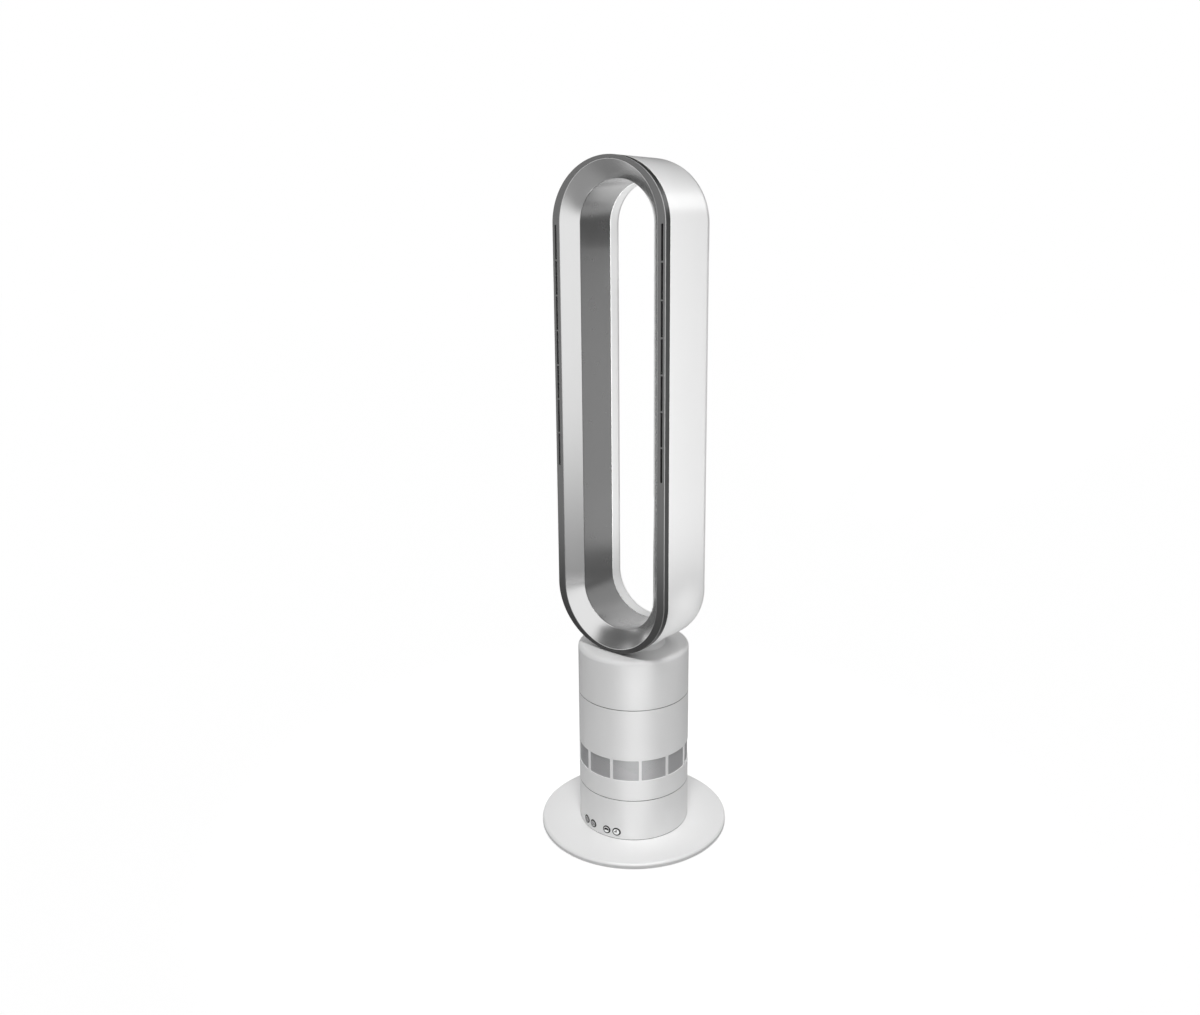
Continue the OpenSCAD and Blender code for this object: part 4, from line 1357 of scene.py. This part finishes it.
@dataclass(frozen=True)
class Screen(Piece):
    """The perforated screen behind the windows: staggered rows of six-sided holes."""

    outer: float = 73.6 * MM
    inner: float = 72.7 * MM
    low: float = 92.7 * MM
    high: float = 126.1 * MM
    columns: int = 216
    rows: int = 17
    hole_share: float = 0.46

    def build(self) -> None:
        """Builds the screen.

        Each hole sits in a six-sided cell whose corners lie one over the square root of three of
        the spacing from its middle, and the hole's corners lie at a share of that.
        """
        spacing = FULL_TURN * self.outer / self.columns
        reach, step = spacing / math.sqrt(3), spacing * math.sqrt(3) / 2
        hole = reach * self.hole_share
        start = (self.low + self.high) / 2 - (self.rows - 1) * step / 2
        row, column = np.meshgrid(np.arange(self.rows), np.arange(self.columns), indexing="ij")
        across = ((column + 0.5 * (row % 2)) * spacing).reshape(-1, 1)
        up = (start + row * step).reshape(-1, 1)
        turn = np.radians(30 + 60 * np.arange(6))
        rings = [
            turned(radius, (across + size * np.cos(turn)) / self.outer, up + size * np.sin(turn))
            for size, radius in (
                (reach, self.outer), (hole, self.outer), (hole, self.inner), (reach, self.inner)
            )
        ]
        sheet = Sheet().grid(np.stack(rings, axis=1), close_columns=True)
        corners = np.arange(2 * self.columns)
        for side, edge, last in ((1, self.high, self.rows - 1), (-1, self.low, 0)):
            place = (corners / 2 + 0.5 * (last % 2)) * spacing / self.outer
            zigzag = start + last * step + side * np.where(corners % 2 == 0, reach, reach / 2)
            border = [
                turned(self.outer, place, zigzag),
                turned(self.outer, place, edge),
                turned(self.inner, place, edge),
                turned(self.inner, place, zigzag),
            ]
            sheet.grid(np.stack(border), close_columns=True)
        self.seat(sheet, "perforated_screen", SCREEN, Body.HEAD, "screen_metal", "intake_screen")


@dataclass(frozen=True)
class Foot(TurnedWall):
    """The flat round foot with its rounded rim."""

    radius: float = 128.0 * MM
    height: float = 8.0 * MM
    rim: float = 3.0 * MM
    wall: float = 2.5 * MM
    gap: float = 1.2 * MM
    bottom_edge: float = 0.3 * MM
    bend_steps: int = 12
    columns: int = 256

    def build(self) -> None:
        """Builds the foot's cover, open underneath."""
        edge, inside, ceiling = self.radius - self.rim, self.radius - self.wall, self.height - self.wall
        bend = arc((edge, self.height - self.rim), self.rim, 90, 0, self.bend_steps)
        line = np.concatenate(
            [
                [(0.0, self.height), (edge - 3 * self.rim, self.height)],
                bend,
                [(self.radius, self.gap), (inside, self.gap), (inside, ceiling), (0.0, ceiling)],
            ]
        )
        cuts = np.zeros(len(line))
        cuts[2 + len(bend)] = self.bottom_edge
        turn = circle(self.columns)
        sheet = self.turn(soften(line, cuts), lambda radius: turn, closed=False)
        self.seat(sheet, "foot_disc", FOOT_WHITE, Body.BASE, "white_plastic", "foot_cover")


@dataclass(frozen=True)
class Button(Piece):
    """A round push button that follows the body's curve, with its flange and stem.

    Attributes:
        dome: radius of each ring of the face and how far it sinks behind the face's curve.
    """

    name: str
    body: Body
    node: str
    x: float
    symbol: Symbol
    disc: Triple
    z: float = 18.5 * MM
    radius: float = 5.4 * MM
    face: float = 75.4 * MM
    inner: float = 72.5 * MM
    flange: float = 6.6 * MM
    flange_thickness: float = 1.2 * MM
    gap: float = 0.3 * MM
    stem: float = 2.0 * MM
    stem_rear: float = -62.5 * MM
    columns: int = 64
    dome: tuple[Pair, ...] = (
        (0.0, 0.0),
        (2.5 * MM, 0.0),
        (4.4 * MM, 0.0),
        (4.9 * MM, 0.0),
        (5.2 * MM, 0.04 * MM),
        (5.35 * MM, 0.15 * MM),
        (5.4 * MM, 0.35 * MM),
    )

    def build(self) -> None:
        """Builds the button from rings round its own axis, along Y.

        The face's rings lie at their sink less the square root of the face's radius squared less X
        squared, so that the face follows the body. The rings of the flange and stem are flat.
        """
        cos, sin = np.cos(circle(self.columns)), np.sin(circle(self.columns))
        seat = -math.sqrt(self.inner**2 - (abs(self.x) + self.flange) ** 2) + self.gap
        back = seat + self.flange_thickness
        rings = [
            (reach, sink - np.sqrt(self.face**2 - (self.x + reach * cos) ** 2))
            for reach, sink in self.dome
        ]
        rings += [(self.radius, seat), (self.flange, seat), (self.flange, back)]
        rings += [(self.stem, back), (self.stem, self.stem_rear), (0.0, self.stem_rear)]
        points = [packed(self.x + reach * cos, depth, self.z + reach * sin) for reach, depth in rings]
        finish = PrintedFinish(
            f"{self.name}_print", self.disc, specular=0.25, centre=(self.x, self.z), symbol=self.symbol
        )
        sheet = Sheet().grid(np.stack(points), close_columns=True)
        self.seat(sheet, self.name, finish, self.body, "button_plastic", self.node)


@dataclass(frozen=True)
class Insides:
    """Finishes of the pieces that keep their CAD meshes, each with the nodes' names."""

    finishes: tuple[tuple[Finish, str], ...] = (
        (STEEL, "ballast_plate foot_screws pivot_screws turning_motor pinion_shaft turntable_screws"),
        (STEEL, "motor_bearings motor_stator motor_shaft"),
        (INNER_PLASTIC, "pivot_plate pivot_retainer turntable turntable_gear fan_shroud diffuser"),
        (INNER_PLASTIC, "motor_bucket motor_cap air_funnel"),
        (BEARING, "glide_ring drive_pinion"),
        (BOARD, "button_board power_board driver_board"),
        (RUBBER, "rubber_pads motor_mounts head_seal"),
        (GASKET, "foot_gasket"),
        (INLET, "power_inlet"),
        (DARK_INNER, "slot_nozzles"),
        (MAGNET, "motor_rotor"),
        (DARK, "impeller"),
    )

    def build(self) -> None:
        """Gives each node its finish."""
        for finish, names in self.finishes:
            for name in names.split():
                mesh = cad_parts[name].data
                mesh.materials.clear()
                mesh.materials.append(finish.material())
            log.info("%s on %s", finish.name, names)


# Stage


def aim(thing: bpy.types.Object, place: Triple, target: Triple) -> None:
    """Puts an object at a place and turns its -Z towards a target.

    Args:
        thing: the object.
        place: where it goes.
        target: what it looks at.
    """
    look = Vector(target) - Vector(place)
    thing.rotation_euler = look.to_track_quat("-Z", "Y").to_euler()
    thing.location = place


@dataclass(frozen=True)
class Lamp:
    """A soft spot lamp that looks at a point and that reflections don't show."""

    name: str
    place: Triple
    target: Triple
    power: float
    cone: float
    soft: float
    blend: float

    def build(self) -> None:
        """Adds the lamp to the scene."""
        light = bpy.data.lights.new(self.name, "SPOT")
        light.energy = self.power
        light.spot_size = math.radians(self.cone)
        light.spot_blend = self.blend
        light.shadow_soft_size = self.soft
        thing = add_object(self.name, light)
        aim(thing, self.place, self.target)
        thing.visible_glossy = thing.visible_camera = False


@dataclass(frozen=True)
class Card:
    """A studio card that only reflections show, and that looks at a point.

    Attributes:
        name: its name.
        place: its middle.
        target: the point that it looks at.
        size: its width and height.
        radiance: its brightness.
        one_sided: whether it is clear from behind.
        fade: the share of each half over which its edges turn clear.
    """

    name: str
    place: Triple
    target: Triple
    size: Pair
    radiance: float
    one_sided: bool = False
    fade: float = 0.0

    def material(self, wide: float, tall: float) -> bpy.types.Material:
        """Makes the card's glow.

        Args:
            wide: the card's half-width.
            tall: its half-height.

        Returns:
            The material.
        """
        material = bpy.data.materials.new(self.name)
        tree = blank_tree(material)
        inputs = {"Color": grey(min(self.radiance, 1.0)), "Strength": max(self.radiance, 1.0)}
        glow = Sock.make(tree, "Emission", inputs)
        clear = Sock.make(tree, "BsdfTransparent")
        if self.one_sided:
            glow = Sock.make(tree, "NewGeometry", output="Backfacing").shade(glow, clear)
        if self.fade:
            x, y, _ = Sock.object_xyz(tree)
            inside = [off.size().step(1.0, 1.0 - self.fade) for off in (x / wide, y / tall)]
            glow = (inside[0] * inside[1]).shade(clear, glow)
        glow.show()
        return material

    def build(self) -> None:
        """Adds the card to the scene."""
        wide, tall = self.size[0] / 2, self.size[1] / 2
        mesh = bpy.data.meshes.new(self.name)
        corners = [(-wide, tall, 0), (wide, tall, 0), (wide, -tall, 0), (-wide, -tall, 0)]
        mesh.from_pydata(corners, [], [(0, 1, 2, 3)])
        mesh.materials.append(self.material(wide, tall))
        thing = add_object(self.name, mesh)
        aim(thing, self.place, self.target)
        thing.visible_camera = thing.visible_diffuse = False
        thing.visible_shadow = thing.visible_transmission = False


@dataclass(frozen=True)
class Stage:
    """Floor, backdrop, surroundings and lamps.

    Attributes:
        floor_size: the floor's side.
        floor_colour: its paint.
        mottle: how far its paint changes.
        mottle_scale: how often.
        camera_glow: how much brighter the camera sees it.
        table_glow: how much brighter everything else sees it.
        ambient: the surroundings' light.
        contact: reach of the soft shade where something touches the floor.
        contact_share: depth of that shade.
        mirror_steps: distances on the floor and how bright reflections show it there.
        aside_from: X over which the floor at the back right looks farther in reflections.
        aside_depth: Y over which that sets in.
        aside_gain: how much farther it looks.
        behind_depth: Y over which the floor behind looks farther.
        behind_side: X over which that sets in.
        behind_gain: how much farther it looks.
        left_side: X over which reflections of the left floor get darker.
        left_reach: distances over which that sets in.
        left_loss: how much darker they get.
        parts: the lamps and cards.
    """

    floor_size: float = 30.0
    floor_colour: float = 0.85
    mottle: float = 0.01
    mottle_scale: float = 3.0
    camera_glow: float = 0.66
    table_glow: float = 0.2
    ambient: float = 0.4
    contact: float = 0.02
    contact_share: float = 0.6
    mirror_steps: tuple[Pair, ...] = (
        (0.0, 0.32), (1.0, 0.3), (1.25, 0.31), (1.5, 0.42), (1.9, 0.62), (2.4, 0.8), (3.2, 0.98)
    )
    aside_from: float = 0.45
    aside_depth: Pair = (0.0, 0.3)
    aside_gain: float = 5.0
    behind_depth: Pair = (0.65, 1.1)
    behind_side: Pair = (0.6, 0.2)
    behind_gain: float = 0.9
    left_side: Pair = (-0.2, -0.6)
    left_reach: Pair = (1.6, 0.9)
    left_loss: float = 0.35
    parts: tuple[Lamp | Card, ...] = (
        Lamp("body_key", (0.62, -0.75, 2.45), (0.0, 0.0, 0.0), 158.0, 15.0, 0.3, 0.5),
        Lamp("loop_key", (0.6, -2.3, 0.75), (0.0, 0.0, 0.72), 395.0, 20.0, 0.06, 0.5),
        Lamp("arc_fill", (1.1, -0.25, 0.04), (0.06, 0.0, 0.316), 17.0, 5.2, 0.02, 0.6),
        Card("back_right", (4.9, 6.3, 1.9), (0.0, 0.0, 1.9), (6.0, 2.4), 0.3),
        Card("arc_dark", (0.033, 0.115, 0.318), (-0.057, 0.0, 0.318), (0.14, 0.046), 0.36, True),
        Card("arc_pale", (0.033, 0.115, 0.37), (-0.057, 0.0, 0.37), (0.14, 0.072), 1.0, True),
        Card("foot_pale", (-0.06, 0.115, 0.395), (-0.03, 0.0, 0.33), (0.1, 0.09), 1.4, True),
        Card("crown_dark", (0.05, 0.115, 0.804), (-0.04, 0.0, 0.804), (0.1, 0.048), 0.2, True),
        Card("crown_pale", (-0.04, 0.12, 0.765), (-0.04, 0.0, 0.795), (0.08, 0.07), 1.6, True),
        Card("back_high", (-0.19, 0.5, 1.24), (0.0, 0.0, 0.9), (0.77, 0.55), 0.04),
        Card("upper_left", (-1.45, -1.3, 1.8), (0.0, 0.0, 0.3), (2.8, 2.2), 0.12, False, 0.5),
        Card("left", (-2.0, 0.0, 1.5), (0.0, 0.0, 0.3), (2.0, 2.6), 0.15),
        Card("crown_light", (0.35, 0.48, 1.075), (0.08, 0.0, 0.85), (0.3, 0.18), 3.5),
        Card("front_low", (0.27, -0.29, 0.14), (0.15, -0.17, -0.18), (0.36, 0.34), 7.5, True),
        Card("foot_glow", (0.145, -0.165, 0.0095), (0.145, -0.165, 1.0), (0.2, 0.2), 1.9, True),
    )

    def paint(self, tree: bpy.types.NodeTree) -> Sock:
        """The floor as the camera and soft light see it: pale, with a shade where things touch.

        Args:
            tree: the material's tree.

        Returns:
            The shader.
        """
        near = {"Distance": self.contact}
        open_share = Sock.make(tree, "AmbientOcclusion", near, "AO", samples=4)
        share = open_share * self.contact_share + (1.0 - self.contact_share)
        low, high = grey(self.floor_colour - self.mottle), grey(self.floor_colour + self.mottle)
        noise = Sock.make(tree, "TexNoise", {"Scale": self.mottle_scale}, "Fac")
        colour = share.blend(grey(0.0), noise.blend(low, high))
        diffuse = Sock.make(tree, "BsdfDiffuse", {"Color": colour})
        seen = Sock.make(tree, "LightPath", output="Is Camera Ray")
        glow = seen.blend(grey(self.table_glow), grey(self.camera_glow))
        emission = Sock.make(tree, "Emission", {"Color": glow, "Strength": share})
        return Sock.make(tree, "AddShader", {0: diffuse, 1: emission})

    def mirrored(self, tree: bpy.types.NodeTree) -> Sock:
        """The floor as reflections see it: dark near the fan and white far away.

        Args:
            tree: the material's tree.

        Returns:
            The shader.
        """
        x, y, _ = Sock.object_xyz(tree)
        coords = Sock.make(tree, "TexCoord", output="Object")
        reach = Sock.make(tree, "VectorMath", {0: coords}, "Value", operation="LENGTH")
        aside = (x - self.aside_from).math("MAXIMUM", 0.0) * y.step(*self.aside_depth)
        behind = y.step(*self.behind_depth) * x.step(*self.behind_side)
        reach = reach + aside * self.aside_gain + behind * self.behind_gain
        bright: Sock | float = self.mirror_steps[0][1]
        for (near, low), (far, high) in zip(self.mirror_steps, self.mirror_steps[1:]):
            bright = reach.step(near, far) * (high - low) + bright
        loss = x.step(*self.left_side) * reach.step(*self.left_reach)
        bright = bright * (1.0 - loss * self.left_loss)
        return Sock.make(tree, "Emission", {"Color": bright, "Strength": 1.0})

    def build(self) -> None:
        """Builds the floor, the white surroundings, the lamps and the cards."""
        material = bpy.data.materials.new("floor")
        tree = blank_tree(material)
        gloss = Sock.make(tree, "LightPath", output="Is Glossy Ray")
        gloss.shade(self.paint(tree), self.mirrored(tree)).show()
        half = self.floor_size / 2
        mesh = bpy.data.meshes.new("floor")
        corners = [(-half, -half, 0), (half, -half, 0), (-half, half, 0), (half, half, 0)]
        mesh.from_pydata(corners, [], [(0, 1, 3, 2)])
        mesh.materials.append(material)
        floor = add_object("floor", mesh)
        world = bpy.data.worlds.new("studio")
        bpy.context.scene.world = world
        tree = blank_tree(world)
        camera, gloss = (
            Sock.make(tree, "LightPath", output=f"Is {ray} Ray") for ray in ("Camera", "Glossy")
        )
        glow = camera.math("MAXIMUM", gloss).blend(grey(self.ambient), grey(1.0))
        Sock.make(tree, "Background", {"Color": glow, "Strength": 1.0}).show("OutputWorld")
        for part in self.parts:
            part.build()


@dataclass(frozen=True)
class View:
    """The photograph's camera.

    Attributes:
        place: where it stands.
        azimuth: its turn to the left from +Y, in degrees.
        pitch: its tilt downwards, in degrees.
        roll: its roll, in degrees.
        focal: its focal length, in the photograph's pixels.
        middle: the pixel that it looks at.
        frame_size: the photograph's size in pixels.
        sensor: the sensor's width, in mm.
    """

    place: Triple = (0.81511, -1.02549, 0.79805)
    azimuth: float = 38.479
    pitch: float = 12.656
    roll: float = -0.134
    focal: float = 1027.195
    middle: Pair = (633.098, 467.5)
    frame_size: tuple[int, int] = (1200, 1015)
    sensor: float = 36.0

    def build(self) -> None:
        """Adds the camera and makes it the scene's."""
        turn, tilt = math.radians(self.azimuth), math.radians(self.pitch)
        forward = Vector(
            (-math.sin(turn) * math.cos(tilt), math.cos(turn) * math.cos(tilt), -math.sin(tilt))
        )
        right = Vector((math.cos(turn), math.sin(turn), 0.0))
        basis = Matrix((right, right.cross(forward), -forward)).transposed()
        basis = basis @ Matrix.Rotation(math.radians(self.roll), 3, "Z")
        width, height = self.frame_size
        data = bpy.data.cameras.new("photo_view")
        data.sensor_width = self.sensor
        data.sensor_fit = "HORIZONTAL"
        data.lens = self.focal / width * self.sensor
        data.shift_x = (width / 2 - self.middle[0]) / width
        data.shift_y = (self.middle[1] - height / 2) / width
        camera = add_object("photo_view", data)
        camera.matrix_world = Matrix.Translation(self.place) @ basis.to_4x4()
        bpy.context.scene.camera = camera


def main() -> None:
    """Builds the fan, its stage and its camera."""
    logging.basicConfig(level=logging.INFO, format="%(message)s")
    bpy.context.scene.view_settings.view_transform = "Standard"
    pale, dull = (0.95,) * 3, (0.48,) * 3
    pieces = (
        Insides(),
        Foot(),
        LowerHousing(),
        MiddleHousing(),
        UpperHousing(),
        Screen(),
        Button("power_cap", Body.POWER, "button_power", -25.8 * MM, Symbol.POWER, dull),
        Button("speed_cap", Body.SPEED, "button_speed", -11.7 * MM, Symbol.SPEED, dull),
        Button("swing_cap", Body.SWING, "button_swing", 11.7 * MM, Symbol.SWING, pale),
        Button("timer_cap", Body.TIMER, "button_timer", 25.8 * MM, Symbol.TIMER, pale),
        Neck(),
        LoopShell(),
        DarkWall(),
        Flare(),
        Trim(),
        Stage(),
        View(),
    )
    for piece in pieces:
        piece.build()


if __name__ == "__main__":
    main()
